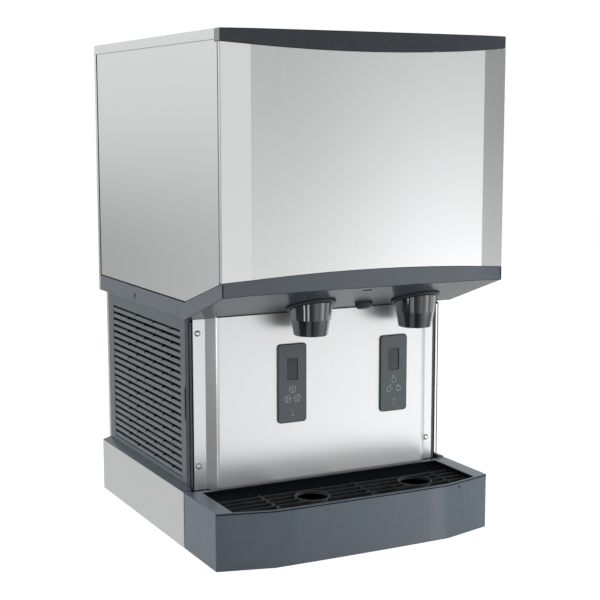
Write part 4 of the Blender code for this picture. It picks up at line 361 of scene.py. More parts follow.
def merged_copy(name):
    """A joined copy with its flat faces merged."""
    bm = joined_copy(name)
    bmesh.ops.dissolve_limit(bm, angle_limit=FLAT_ANGLE, verts=bm.verts, edges=bm.edges)
    return bm


def bent_edges(bm, angle):
    return [edge for edge in bm.edges if len(edge.link_faces) == 2 and edge.calc_face_angle(0) > angle]


def bevel(bm, edges, width, segments):
    bmesh.ops.bevel(bm, geom=edges, offset=width, segments=segments, profile=0.5, affect="EDGES",
                    clamp_overlap=True)


def round_edges(bm, width, angle=EDGE_ANGLE, segments=2):
    """Rounds every edge of a bmesh that turns by more than an angle."""
    bevel(bm, bent_edges(bm, angle), width, segments)
    return bm


def sealed(bm):
    """Joins a shape's doubles and turns its faces outwards."""
    bmesh.ops.remove_doubles(bm, verts=bm.verts, dist=WELD)
    bmesh.ops.recalc_face_normals(bm, faces=bm.faces)
    return bm


def join_rings(bm, rings, closed=True):
    """Faces from each ring of points to the next, and, where closed, from the last to the first."""
    count = len(rings[0])
    for ring, following in zip(rings, rings[1:] + (rings[:1] if closed else [])):
        for index in range(count):
            after = (index + 1) % count
            bm.faces.new((ring[index], ring[after], following[after], following[index]))


def close_ends(bm, rings):
    bm.faces.new(rings[0][::-1])
    return bm.faces.new(rings[-1])


def add_prism(bm, outline, axis, start, end):
    """A closed prism: an outline in the two other axes, from start to end along one axis."""
    ends = [[bm.verts.new(AXES[axis](u, v, w)) for u, v in outline] for w in (start, end)]
    join_rings(bm, ends, closed=False)
    close_ends(bm, ends)


def prism(outline, axis, start, end):
    """A closed prism as a mesh of its own."""
    bm = bmesh.new()
    add_prism(bm, outline, axis, start, end)
    return sealed(bm)


def plate(outline, hole, axis, start, end):
    """A closed plate with a hole: flat outlines in the two other axes, from start to end along one."""
    bm = bmesh.new()
    for points in (outline, hole):
        verts = [bm.verts.new(AXES[axis](u, v, start)) for u, v in points]
        for first, second in zip(verts, verts[1:] + verts[:1]):
            bm.edges.new((first, second))
    bmesh.ops.triangle_fill(bm, use_beauty=True, use_dissolve=False, edges=bm.edges)
    raised = bmesh.ops.extrude_face_region(bm, geom=bm.faces[:])["geom"]
    raised = [item for item in raised if isinstance(item, bmesh.types.BMVert)]
    bmesh.ops.translate(bm, vec=Vector(AXES[axis](0, 0, end - start)), verts=raised)
    bmesh.ops.recalc_face_normals(bm, faces=bm.faces)
    bm.normal_update()
    return bm


def add_turned(bm, profile, place, steps, axis="Z"):
    """A closed profile of radius and height turned round an axis through a place."""
    centre = Vector(place)
    rings = [[bm.verts.new(centre + Vector(AXES[axis](u, v, height))) for u, v in circle(radius, steps)]
             for radius, height in profile]
    join_rings(bm, rings)


# Pieces

def settle(obj, body, replaced, flat=False):
    """The last steps of every piece: crisp normals, its body and the CAD nodes it stands for."""
    if flat:
        obj.data.shade_flat()
    else:
        obj.data.shade_smooth()
        obj.data.set_sharp_from_angle(angle=SHARP_ANGLE)
        crisp = obj.modifiers.new("crisp_faces", "WEIGHTED_NORMAL")
        crisp.keep_sharp = True
    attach(obj, body)
    if replaced:
        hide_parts(replaced)


def piece(name, bm, finish="bar_plastic", body="root", replaced=None, skins=None, flat=False):
    """A mesh piece from a bmesh, with its materials, that rides on its body."""
    obj = mesh_object(name, bm)
    for material in skins or [FINISHES[finish]]:
        obj.data.materials.append(material)
    settle(obj, body, replaced, flat)


def softened(name, width, angle=EDGE_ANGLE, segments=2, finish=None, skin=None):
    """Stands for a CAD node: the same shape, with its edges rounded as the real piece's are."""
    bm = round_edges(merged_copy(name), width, angle, segments)
    piece(f"{name}_finished", bm, finish or slot_of[name], body_of[name], name, [skin] if skin else None)


def two_toned(name, finish, other, wanted):
    """Stands for a CAD node in two materials. The second goes on the faces that a test picks out."""
    bm = round_edges(merged_copy(name), MOULDED_EDGE, segments=3)
    bm.normal_update()
    for face in bm.faces:
        if wanted(face.normal):
            face.material_index = 1
    piece(f"{name}_finished", bm, finish, "root", name, [FINISHES[finish], other])


# Rules for what repeats

def rule_tree(name, **inputs):
    """An empty Geometry Nodes tree: a mesh to start from, named inputs, a finish, and its way out."""
    group = bpy.data.node_groups.new(name, "GeometryNodeTree")
    for label, kind in {"Geometry": "Geometry", **inputs, "Finish": "Material"}.items():
        group.interface.new_socket(label, in_out="INPUT", socket_type=f"NodeSocket{kind}")
    group.interface.new_socket("Geometry", in_out="OUTPUT", socket_type="NodeSocketGeometry")
    return group, group.nodes.new("NodeGroupInput").outputs


def end_rule(group, geometry, given):
    """Every rule ends the same way: real meshes with their material."""
    real = made(group, "GeometryNodeRealizeInstances", {"Geometry": geometry})
    painted = made(group, "GeometryNodeSetMaterial", {"Geometry": real, "Material": given["Finish"]})
    new_node(group, "NodeGroupOutput", {"Geometry": painted})
    return group


def make_row_rule():
    """Copies of the start mesh in a row. Every second copy may be moved aside."""
    group, given = rule_tree("repeated_row", Count="Int", Pitch="Vector", Shift="Vector")
    line = made(group, "GeometryNodeMeshLine", {"Count": given["Count"], "Offset": given["Pitch"]},
                mode="OFFSET")
    odd = arithmetic(group, "MODULO", made(group, "GeometryNodeInputIndex"), 2.0)
    aside = made(group, "ShaderNodeVectorMath", {0: given["Shift"], "Scale": odd}, operation="SCALE")
    places = made(group, "GeometryNodeSetPosition", {"Geometry": line, "Offset": aside})
    row = made(group, "GeometryNodeInstanceOnPoints", {"Points": places, "Instance": given["Geometry"]})
    return end_rule(group, row, given)


def end_sweep(group, paths, section, given):
    """A section swept along paths, with its ends closed."""
    swept = made(group, "GeometryNodeCurveToMesh",
                 {"Curve": paths, "Profile Curve": section, "Fill Caps": True})
    return end_rule(group, swept, given)


def make_bar_rule():
    """A bar of rounded section swept along every line of the start mesh."""
    group, given = rule_tree("swept_bars", Width="Float", Height="Float", Corner="Float")
    paths = made(group, "GeometryNodeMeshToCurve", {"Mesh": given["Geometry"]})
    upright = made(group, "GeometryNodeSetCurveNormal", {"Curve": paths}, mode="Z_UP")
    section = made(group, "GeometryNodeCurvePrimitiveQuadrilateral",
                   {"Width": given["Width"], "Height": given["Height"]}, mode="RECTANGLE")
    rounded = made(group, "GeometryNodeFilletCurve",
                   {"Curve": section, "Radius": given["Corner"], "Count": 2}, mode="POLY")
    return end_sweep(group, upright, rounded, given)


def make_rod_rule():
    """A round rod swept along every line of the start mesh."""
    group, given = rule_tree("swept_rods", Radius="Float", Sides="Int")
    paths = made(group, "GeometryNodeMeshToCurve", {"Mesh": given["Geometry"]})
    section = made(group, "GeometryNodeCurvePrimitiveCircle",
                   {"Radius": given["Radius"], "Resolution": given["Sides"]}, mode="RADIUS")
    return end_sweep(group, paths, section, given)


def make_screw_rule():
    """A screw head on every point of the start mesh, facing one way."""
    group, given = rule_tree("screw_heads", Screw="Object", Facing="Vector")
    turned = made(group, "FunctionNodeAlignRotationToVector", {"Vector": given["Facing"]}, axis="Z")
    head = new_node(group, "GeometryNodeObjectInfo", {"Object": given["Screw"]}).outputs["Geometry"]
    screws = made(group, "GeometryNodeInstanceOnPoints",
                  {"Points": given["Geometry"], "Instance": head, "Rotation": turned})
    return end_rule(group, screws, given)


ROW_RULE = make_row_rule()
BAR_RULE = make_bar_rule()
ROD_RULE = make_rod_rule()
SCREW_RULE = make_screw_rule()


def ruled(name, bm, rule, values, finish="bar_plastic", body="root", replaced=None, skin=None):
    """Runs a rule on a start mesh and keeps the result as a plain mesh piece."""
    obj = mesh_object(name, bm)
    modifier = obj.modifiers.new("rule", "NODES")
    modifier.node_group = rule
    values = {**values, "Finish": skin or FINISHES[finish]}
    for item in rule.interface.items_tree:
        if item.in_out == "INPUT" and item.name in values:
            modifier[item.identifier] = values[item.name]
    graph = bpy.context.evaluated_depsgraph_get()
    plain = bpy.data.meshes.new_from_object(obj.evaluated_get(graph), depsgraph=graph)
    obj.modifiers.remove(modifier)
    obj.data = plain
    settle(obj, body, replaced)


def lines(paths):
    """A start mesh of open or closed lines. A path whose last point is its first is closed."""
    bm = bmesh.new()
    for path in paths:
        closed = path[0] == path[-1]
        verts = [bm.verts.new(point) for point in (path[:-1] if closed else path)]
        for first, second in zip(verts, verts[1:] + (verts[:1] if closed else [])):
            bm.edges.new((first, second))
    return bm


def rods(name, paths, radius=LINE, sides=8, finish="bar_plastic", skin=None):
    ruled(name, lines(paths), ROD_RULE, {"Radius": radius, "Sides": sides}, finish, skin=skin)


# Upper cabinet

CABINET_LOW, CABINET_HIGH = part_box("side_panel_left")
SPLASH_LOW, SPLASH_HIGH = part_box("splash_panel")
HALF = 0.270
FRONT_Y = -0.2985
CABINET_TOP = 0.886
BEND_X = 0.221
BEND_DEPTH = 0.0085
END_LINE_PROUD = BEND_DEPTH / 40
BOW_DEPTH = 0.0035
BOW_STEPS = 16
FASCIA_TOP_END = 0.486
FASCIA_TOP_MIDDLE = 0.497
FASCIA_TOP_FALL = 0.011
UNDERSIDE_FRONT = 0.4626
UNDERSIDE_SLOPE = 0.3475
SPLASH_HALF = 0.2087
SIDE_PULL = 0.0022
SIDE_RISE = 0.0026
SIDE_LOW = 0.4364
REAR_PULL = 0.0055
KNEE_SLOPE = 0.325
KNEE_SETBACK = 0.162
JOINT_RECESS = 0.0006
JOINT_FLOOR = 0.0036
TRIM_FACE = HALF - 0.0004
SNAP_SEAM = ((-0.109, 0.432), (-0.109, 0.408), (0.172, 0.4100))
KEYHOLE = (0.105, 0.4205)
KEYHOLE_HEAD = 0.0036
KEYHOLE_SLOT = 0.0016
KEYHOLE_DROP = 0.0075
KEYHOLE_STEPS = 14
LIT_END_FACING = 0.9
UNDERSIDE_FACING = -0.8


def bow(x):
    """How far the front stands ahead of its corners at a place across it."""
    if abs(x) > BEND_X:
        return BEND_DEPTH * (HALF - abs(x)) / (HALF - BEND_X)
    return BEND_DEPTH + BOW_DEPTH * (1 - (x / BEND_X) ** 2)


def across(bend, inset):
    """Places across the front: its ends, its two bends and steps along the bow."""
    inner = [bend * (2 * step / BOW_STEPS - 1) for step in range(BOW_STEPS + 1)]
    return [-HALF + inset] + inner + [HALF - inset]


def fascia_top(x):
    """The height of the fascia's bowed top edge at a place across the front."""
    return FASCIA_TOP_MIDDLE - FASCIA_TOP_FALL * (x / HALF) ** 2


def underside(setback):
    """The height of the slanted underside at a distance behind the front's corners."""
    return UNDERSIDE_FRONT - UNDERSIDE_SLOPE * setback


def make_joints():
    """The dark joints between the sheets and the mouldings: recessed strips, and thin lines at the edges. The
    line along the splash's top is painted shade in its gap.
    """
    low, high = CABINET_LOW, CABINET_HIGH
    strips = bmesh.new()
    for side in (-1, 1):
        for y, z in (((low.y - WELD, low.y + SIDE_PULL), (FASCIA_TOP_END, high.z)),
                     ((high.y - REAR_PULL, high.y + WELD), (SIDE_LOW, high.z)),
                     ((FRONT_Y + KNEE_SETBACK, high.y), (SIDE_LOW, low.z + SIDE_RISE))):
            add_prism(strips, rectangle(y, z), "X", side * (HALF - JOINT_RECESS), side * (HALF - JOINT_FLOOR))
    piece("side_joints", sealed(strips))

    def along_front(height):
        return [(x, FRONT_Y - bow(x) + LINE, height(x)) for x in across(BEND_X, LINE * 2)]

    edge = along_front(lambda x: underside(-bow(x)) + LINE / 4)
    crown = along_front(lambda x: CABINET_TOP - LINE)
    seam = along_front(lambda x: fascia_top(x) + LINE / 2)
    # Painted shade: a black line in the gap along the splash's top edge.
    splash_gap_shade = [(x, SPLASH_LOW.y, SPLASH_HIGH.z) for x in (-SPLASH_HALF, SPLASH_HALF)]
    ends = [[(side * (HALF - LINE * 2), FRONT_Y - END_LINE_PROUD, z)
             for z in (UNDERSIDE_FRONT + LINE, FASCIA_TOP_END - LINE)] for side in (-1, 1)]
    rods("dark_joints", [edge, crown, splash_gap_shade] + ends)
    rods("fascia_seam", [seam])


def make_side_panel(name):
    """A side sheet whose front, rear and lower edges stand back from the pieces around it."""
    bm = merged_copy(name)
    for vert in bm.verts:
        if vert.co.y < CABINET_LOW.y + SHEET_EDGE:
            vert.co.y += SIDE_PULL
        elif vert.co.y > CABINET_HIGH.y - SHEET_EDGE:
            vert.co.y -= REAR_PULL
        if vert.co.z < CABINET_LOW.z + SHEET_EDGE:
            vert.co.z += SIDE_RISE
            if vert.co.y < FRONT_Y + KNEE_SETBACK + SHEET_BEND:
                vert.co.y -= SIDE_RISE / KNEE_SLOPE
    piece(f"{name}_finished", round_edges(bm, SHEET_EDGE), "stainless", "root", name)


def make_side_trim(name, side):
    """A side trim with a keyhole and a snap-in section marked off by thin seams."""
    bm = merged_copy(name)
    for vert in bm.verts:
        if abs(vert.co.x) > TRIM_FACE:
            vert.co.x = side * TRIM_FACE
    piece(f"{name}_finished", round_edges(bm, MOULDED_EDGE, segments=3), "grey_plastic", "root", name)
    seam = [(side * TRIM_FACE, y, z) for y, z in SNAP_SEAM]
    rods(f"{name}_seams", [seam], THIN_LINE, 6, "dark_plastic")
    y, z = KEYHOLE
    gap = math.asin(KEYHOLE_SLOT / KEYHOLE_HEAD)
    outline = [(y + KEYHOLE_SLOT, z - KEYHOLE_DROP)]
    outline += [(y + KEYHOLE_HEAD * math.cos(turn), z + KEYHOLE_HEAD * math.sin(turn))
                for turn in turns(KEYHOLE_STEPS, gap - math.pi / 2, 2 * math.pi - 2 * gap)]
    outline += [(y - KEYHOLE_SLOT, z - KEYHOLE_DROP)]
    sunk, proud = side * (TRIM_FACE - MOULDED_EDGE), side * (HALF - THIN_LINE / 2)
    piece(f"{name}_keyhole", prism(outline, "X", sunk, proud))


def make_cabinet():
    softened("top_cover", SHEET_EDGE)
    for name in ("side_panel_left", "side_panel_right"):
        make_side_panel(name)
    softened("front_panel", SHEET_BEND, FOLD_ANGLE, 3)
    # Painted light: the top trim's end faces get the paler slate.
    two_toned("top_trim", "dark_plastic", LIT_END_SKIN, lambda normal: abs(normal.x) > LIT_END_FACING)
    two_toned("lower_fascia", "grey_plastic", UNDERSIDE_SKIN, lambda normal: normal.z < UNDERSIDE_FACING)
    for name, side in (("side_trim_left", -1), ("side_trim_right", 1)):
        make_side_trim(name, side)


# Lower cabinet

LOUVRE_ROWS = 21
FIELD_FRONT = 0.0227
FIELD_BACK = 0.0277
FIELD_LOW = 0.0095
FIELD_TOP = 0.027
FIELD_CORNER = 0.002
SLAT_SHARE = 0.60
SLAT_LIFT = 0.06
SLAT_RECESS = 0.0006
SLAT_NOSE = 0.0012
SLAT_STEPS = 3
CLIP_SPACING = 0.090
CLIP_HALF = 0.0024
CLIP_RECESS = 0.0002
CLIP_DROP = 0.0024
CLIP_FOOT = 0.0008
NOTCH_LOW = 0.221
NOTCH_TOP = 0.284
NOTCH_DEPTH = 0.005
POST_CLIP_INNER = 0.2482
POST_CLIP_LOW = 0.3985
POST_CLIP_TOP = 0.4060
POST_CLIP_PROUD = 0.0006
POST_FOOT = 0.105
POST_EDGES = (0.2543, 0.2488)


def slat_section(outer, side, depth, height):
    """A louvre slat's section: upright outside, round at its head and foot, and leaning back inside."""
    arc = [(SLAT_NOSE * math.sin(turn), SLAT_NOSE * math.cos(turn))
           for turn in turns(SLAT_STEPS, 0.0, math.pi / 2)]
    points = [(SLAT_NOSE - sine, SLAT_NOSE - cosine) for sine, cosine in arc]
    points += [(SLAT_NOSE - cosine, height - SLAT_NOSE + sine) for sine, cosine in arc]
    points += [(depth, height), (depth, height - SLAT_NOSE), (SLAT_NOSE * 2, 0)]
    return [(outer - side * (SLAT_RECESS + into), up) for into, up in points]


def make_louvre_panel(name, side):
    """A moulded frame and upright slats in a darker slate that paints shade on them, a finger notch, and
    short webs staggered in the slots, black as painted shade.
    """
    low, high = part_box(name)
    body = body_of[name]
    outer, inner = (low.x, high.x) if side < 0 else (high.x, low.x)
    front, back = low.y + FIELD_FRONT, high.y - FIELD_BACK
    foot, head = low.z + FIELD_LOW, high.z - FIELD_TOP
    notch = low.y + NOTCH_DEPTH
    rim = rectangle((low.y, high.y), (low.z, high.z))
    rim += [(low.y, NOTCH_TOP), (notch, NOTCH_TOP - NOTCH_DEPTH), (notch, NOTCH_LOW + NOTCH_DEPTH),
            (low.y, NOTCH_LOW)]
    opening = rounded_outline((front, foot), (back, head), FIELD_CORNER)
    moulded = round_edges(plate(rim, opening, "X", outer, inner), FIELD_CORNER / 3)
    # The frame and the slats wear the darker slate, which is painted shade.
    piece(f"{name}_frame", moulded, "grey_plastic", body, name, [SHADED_LOUVRE_SKIN])
    pitch = (head - foot) / LOUVRE_ROWS
    base = foot + pitch * SLAT_LIFT
    row = {"Count": LOUVRE_ROWS, "Pitch": (0, 0, pitch)}
    section = slat_section(outer, side, abs(inner - outer) - SLAT_RECESS * 2, pitch * SLAT_SHARE)
    slat = prism([(x, base + up) for x, up in section], "Y", front, back)
    ruled(f"{name}_slats", slat, ROW_RULE, row, "grey_plastic", body, skin=SHADED_LOUVRE_SKIN)
    # The short webs in the slots are black: painted shade, for the shadow they stand in.
    clips = bmesh.new()
    clip_low, clip_top = base + pitch * SLAT_SHARE, base + pitch
    place = front + CLIP_SPACING / 2
    while place < back - CLIP_SPACING / 2:
        outline = [(place - CLIP_HALF, clip_low), (place - CLIP_FOOT, clip_low - CLIP_DROP),
                   (place + CLIP_FOOT, clip_low - CLIP_DROP), (place + CLIP_HALF, clip_low),
                   (place + CLIP_HALF, clip_top), (place - CLIP_HALF, clip_top)]
        add_prism(clips, outline, "X", outer - side * CLIP_RECESS, inner + side * CLIP_RECESS)
        place += CLIP_SPACING
    ruled(f"{name}_clips", sealed(clips), ROW_RULE, {**row, "Shift": (0, CLIP_SPACING / 2, 0)}, body=body)


def make_lower_cabinet():
    for name in ("skirt_left", "skirt_right"):
        softened(name, SHEET_EDGE)
    for name in ("ledge_left", "ledge_right"):
        softened(name, MOULDED_EDGE, skin=LEDGE_SKIN)
    clips = bmesh.new()
    for name, side in (("post_left", -1), ("post_right", 1)):
        softened(name, MOULDED_EDGE, finish="dark_plastic", skin=POST_SKIN)
        low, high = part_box(name)
        outer, inner = side * max(abs(low.x), abs(high.x)), side * POST_CLIP_INNER
        bar = rectangle((outer, inner), (POST_CLIP_LOW, POST_CLIP_LOW + CLIP_HALF))
        add_prism(clips, bar, "Y", low.y - POST_CLIP_PROUD, low.y + POST_CLIP_PROUD)
        gusset = [(outer, POST_CLIP_LOW), (inner, POST_CLIP_LOW), (inner, POST_CLIP_TOP)]
        add_prism(clips, gusset, "Y", low.y - POST_CLIP_PROUD * 2, low.y + POST_CLIP_PROUD)
    piece("post_clips", sealed(clips))
    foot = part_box("post_left")[0]
    rods("post_edges", [[(side * x, foot.y, foot.z + POST_FOOT), (side * x, foot.y, POST_CLIP_LOW)]
                        for side in (-1, 1) for x in POST_EDGES])
    low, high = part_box("air_filter")
    middle, inset, half = (low.x + high.x) / 2, FIELD_CORNER, FIELD_CORNER / 4
    outline = rectangle((low.y + inset, high.y - inset), (low.z + inset, high.z - inset))
    piece("filter_mat", prism(outline, "X", middle - half, middle + half), body=body_of["air_filter"])
    make_louvre_panel("louvre_panel_left", -1)
    make_louvre_panel("louvre_panel_right", 1)


# Vend bay

SPOUT_TIP = 0.0303
SPOUT_BREAK = 0.0352
SPOUT_TOP = 0.0372
SPOUT_RIM = 0.0442
SPOUT_BREAK_HEIGHT = 0.0285
SPOUT_WALL = 0.004
SPOUT_CORNER = 1.02
SPOUT_FLATNESS = 0.62
SPOUT_LIP_FLATNESS = 0.5
SPOUT_INNER_FLATNESS = 0.4
SPOUT_THROAT_FLATNESS = 0.3
SPOUT_NECK = 0.027
SPOUT_FLATS = 8
SPOUT_STEPS = 64
SPOUT_FLANGE = 0.005
SPOUT_SETBACK = 0.1026
SPOUT_TURN = math.radians(-4.4)
LIP = 0.0012
BEAD_STEPS = 6


def flattened(radius, share, turn):
    """A spout's reach at an angle, drawn in between its corners: a share of 0 is round, 1 is flat."""
    half = math.pi / SPOUT_FLATS
    flat = math.cos(half) / math.cos(turn % (2 * half) - half)
    return radius * (1 + share * (flat - 1))


def make_spout(node):
    """A spout with eight soft flats that sharpen towards its tip, under an oblique round flange."""
    low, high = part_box(node)
    x, y = (low.x + high.x) / 2, FRONT_Y + SPOUT_SETBACK
    tip, waist, seat = low.z, low.z + SPOUT_BREAK_HEIGHT, underside(SPOUT_SETBACK)
    under, bead = seat - SPOUT_FLANGE, SPOUT_FLANGE / 2
    flat_tip, flat_break = SPOUT_TIP * SPOUT_CORNER, SPOUT_BREAK * SPOUT_CORNER
    # Each row is a radius, a height, a share of flatness and a share of the underside's slope.
    profile = [(flat_tip - SPOUT_WALL, tip + LIP, SPOUT_INNER_FLATNESS, 0),
               (flat_tip - SPOUT_WALL + LIP, tip, SPOUT_LIP_FLATNESS, 0),
               (flat_tip - LIP, tip, SPOUT_FLATNESS, 0), (flat_tip, tip + LIP, SPOUT_FLATNESS, 0),
               (flat_break, waist - LIP / 2, SPOUT_FLATNESS, 0), (SPOUT_BREAK, waist, 0, 0),
               (SPOUT_TOP, under - LIP, 0, 1), (SPOUT_TOP - LIP, under, 0, 1)]
    profile += [(SPOUT_RIM - bead + bead * math.sin(turn), under + bead - bead * math.cos(turn), 0, 1)
                for turn in turns(BEAD_STEPS, 0.0, math.pi)]
    profile += [(SPOUT_NECK, seat, 0, 1), (SPOUT_NECK, high.z, 0, 0),
                (SPOUT_NECK - SPOUT_WALL, high.z, 0, 0),
                (SPOUT_NECK - SPOUT_WALL, waist, SPOUT_THROAT_FLATNESS, 0)]
    bm = bmesh.new()
    rings = []
    for radius, height, flatness, slope in profile:
        ring = []
        for turn in turns(SPOUT_STEPS):
            reach = flattened(radius, flatness, turn + math.pi / SPOUT_FLATS + SPOUT_TURN)
            along = reach * math.sin(turn)
            point = (x + reach * math.cos(turn), y + along, height - slope * UNDERSIDE_SLOPE * along)
            ring.append(bm.verts.new(point))
        rings.append(ring)
    join_rings(bm, rings)
    for face in bm.faces:
        middle = face.calc_center_median()
        if math.hypot(middle.x - x, middle.y - y) > SPOUT_TOP + LIP and middle.z > waist:
            face.material_index = 1
    piece(f"{node}_moulding", sealed(bm), "black_plastic", "root", node,
          [FINISHES["black_plastic"], FLANGE_SKIN])


PRINT_RADIUS = 0.0005
BEZEL_RADIUS = 0.006
BEZEL_EDGE = 0.0010
LABEL_INSET = 0.0016
LABEL_HEIGHT = 0.00012
WINDOW_RADIUS = 0.003
WINDOW_RIM = 0.0009
CUBE_REACH = 0.46
CUBE_CORNERS = [(CUBE_REACH * math.sin(turn), CUBE_REACH * math.cos(turn)) for turn in turns(6)]
DROP_HALF = 0.30
DROP_FULLNESS = 1.3
DROP_REACH = 0.48
DROP_STEPS = 16
DROP_SHAPE = [(DROP_HALF * math.sin(turn) * (1 - math.cos(turn)) / DROP_FULLNESS, DROP_REACH * math.cos(turn))
              for turn in turns(DROP_STEPS)]
SIGNS = {"ice": [CUBE_CORNERS + CUBE_CORNERS[:1]] + [[(0, 0), CUBE_CORNERS[step]] for step in (1, 3, 5)],
         "water": [DROP_SHAPE + DROP_SHAPE[:1]]}
SIGN_PLACES = ((0, 0.62, 0.15), (-0.62, -0.5, -0.35), (0.62, -0.5, 0.45))
SIGN_SIZE = 0.0150
SIGN_SHARE = 0.36
NUMERALS = {"ice": (((-0.15, 0.3), (0.05, 0.5), (0.05, -0.5)), ((-0.2, -0.5), (0.3, -0.5))),
            "water": (((-0.3, 0.25), (-0.15, 0.45), (0.1, 0.5), (0.3, 0.35), (0.25, 0.1), (-0.3, -0.5),
                       (0.3, -0.5)),)}
NUMERAL_SIZE = 0.0105
NUMERAL_SHARE = 0.13


def make_sensor(kind):
    """A rounded bezel with an inlaid label and a window. The water window has a round rim."""
    bezel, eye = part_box(f"sensor_bezel_{kind}"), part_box(f"sensor_eye_{kind}")
    low, high = bezel
    softened(f"sensor_bezel_{kind}", BEZEL_EDGE, segments=3, finish="dark_plastic")
    edge = front_outline(bezel, -LABEL_INSET, BEZEL_RADIUS - LABEL_INSET)
    window = front_outline(eye, 0, WINDOW_RIM)
    label = plate(edge, window, "Y", low.y - LABEL_HEIGHT, low.y + LABEL_HEIGHT)
    piece(f"sensor_label_{kind}", sealed(label), "grey_plastic", skins=[SENSOR_LABEL])
    if kind == "water":
        inner = front_outline(eye, 0, WINDOW_RADIUS)
        outer = front_outline(eye, WINDOW_RIM, WINDOW_RADIUS + WINDOW_RIM)
        proud, sunk = low.y - LABEL_HEIGHT * 2, low.y + LABEL_HEIGHT
        rim = bmesh.new()
        join_rings(rim, [[rim.verts.new((x, y, z)) for x, z in outline]
                         for outline, y in ((outer, proud), (outer, sunk), (inner, sunk), (inner, proud))])
        piece("sensor_window_rim", sealed(rim), "dark_plastic")
    middle, tall = (low.x + high.x) / 2, high.z - low.z
    make_sign(kind, middle, low.y, low.z + tall * SIGN_SHARE)
    softened(f"sensor_eye_{kind}", BEZEL_EDGE / 2, finish="sensor_lens")
    foot = low.z + tall * NUMERAL_SHARE
    strokes = [[(middle + u * NUMERAL_SIZE, low.y, foot + v * NUMERAL_SIZE) for u, v in stroke]
               for stroke in NUMERALS[kind]]
    rods(f"sensor_numeral_{kind}", strokes, PRINT_RADIUS, 6, "pale_plastic", SIGN_PRINT)


def make_sign(kind, middle, front, height):
    """A sensor's sign drawn three times, each turned a little: one above two."""
    paths = []
    for x, z, turn in SIGN_PLACES:
        cosine, sine = math.cos(turn), math.sin(turn)
        paths += [[(middle + (x + u * cosine - v * sine) * SIGN_SIZE, front,
                    height + (z + u * sine + v * cosine) * SIGN_SIZE) for u, v in stroke]
                  for stroke in SIGNS[kind]]
    rods(f"sensor_sign_{kind}", paths, PRINT_RADIUS, 6, "pale_plastic", SIGN_PRINT)


SCREW_RADIUS = 0.0044
SCREW_DOME = 0.0022
SCREW_SLOT = 0.0006
SCREW_SLOT_DEPTH = 0.0009
SCREW_STEPS = 20
HEAD_PROFILE = ((1, 0), (1, 0.35), (0.86, 0.72), (0.55, 0.94))


def make_screw_pattern(name, dome, slot_depth):
    """A pan-head screw with a recess in it, made once for the screw rule."""
    bm = bmesh.new()
    rings = [[bm.verts.new((u, v, dome * rise)) for u, v in circle(SCREW_RADIUS * share, SCREW_STEPS)]
             for share, rise in HEAD_PROFILE]
    join_rings(bm, rings, closed=False)
    top = close_ends(bm, rings)
    bmesh.ops.inset_region(bm, faces=[top], thickness=SCREW_SLOT, depth=-slot_depth)
    return mesh_object(name, bm)


def make_screws(name, places, facing, pattern, finish):
    bm = bmesh.new()
    for place in places:
        bm.verts.new(place)
    ruled(name, bm, SCREW_RULE, {"Screw": pattern, "Facing": facing}, finish)


SPLASH_FLANGE_Y = FRONT_Y + 0.177
SPLASH_RIGHT_END = 0.2412
SPLASH_BEND = 0.0040
BEND_SEGMENTS = 6
SCREW_PLACES = ((-0.2390, 0.143), (-0.2390, 0.3785), (0.2290, 0.143), (0.2290, 0.3785))
WASHER_EDGE = 0.0010
WASHER_DEPTH = 0.0009
WASHER_STEPS = 24
CRESCENT = ((-0.0065, -0.2882), (-0.0030, -0.2864), (0.0015, -0.2854), (0.0065, -0.2864), (0.0110, -0.2894))


def make_splash():
    """The steel splash panel: its right flange ends inside the dark post, and its bends are soft."""
    bm = merged_copy("splash_panel")
    everything = bm.verts[:] + bm.edges[:] + bm.faces[:]
    cut = bmesh.ops.bisect_plane(bm, geom=everything, plane_co=(SPLASH_RIGHT_END, 0, 0), plane_no=(1, 0, 0),
                                 clear_outer=True)["geom_cut"]
    bmesh.ops.holes_fill(bm, edges=[item for item in cut if isinstance(item, bmesh.types.BMEdge)])
    upright = [edge for edge in bent_edges(bm, FOLD_ANGLE)
               if abs(edge.verts[0].co.z - edge.verts[1].co.z) > SPLASH_HIGH.z / 2
               and abs(abs(edge.verts[0].co.x) - SPLASH_HALF) < SHEET_BEND]
    bevel(bm, upright, SPLASH_BEND, BEND_SEGMENTS)
    piece("splash_panel_finished", round_edges(bm, SHEET_EDGE), "stainless", "root", "splash_panel",
          [LIT_SPLASH_STEEL])


def make_vend_bay():
    make_splash()
    for node in ("ice_spout", "water_spout"):
        make_spout(node)
    softened("bay_light_lens", MOULDED_EDGE, finish="dark_plastic")
    for kind in SIGNS:
        make_sensor(kind)
    places = [(x, SPLASH_FLANGE_Y, z) for x, z in SCREW_PLACES]
    make_screws("splash_screws", places, (0.0, -1.0, 0.0), SCREW_PATTERN, "stainless")
    washers = bmesh.new()
    inner, outer = SCREW_RADIUS / 2, SCREW_RADIUS + WASHER_EDGE
    for x, y, z in places:
        sunk, proud = y + WASHER_DEPTH, y - LABEL_HEIGHT
        add_turned(washers, [(inner, sunk), (inner, proud), (outer, proud), (outer, sunk)], (x, 0, z),
                   WASHER_STEPS, "Y")
    piece("splash_washers", sealed(washers), "dark_plastic")
    # Painted shade: a black crescent on the underside, for the dark inside of a small screw hole.
    rods("thumb_slit", [[(x, y, underside(y - FRONT_Y)) for x, y in CRESCENT]])


# Drip tray

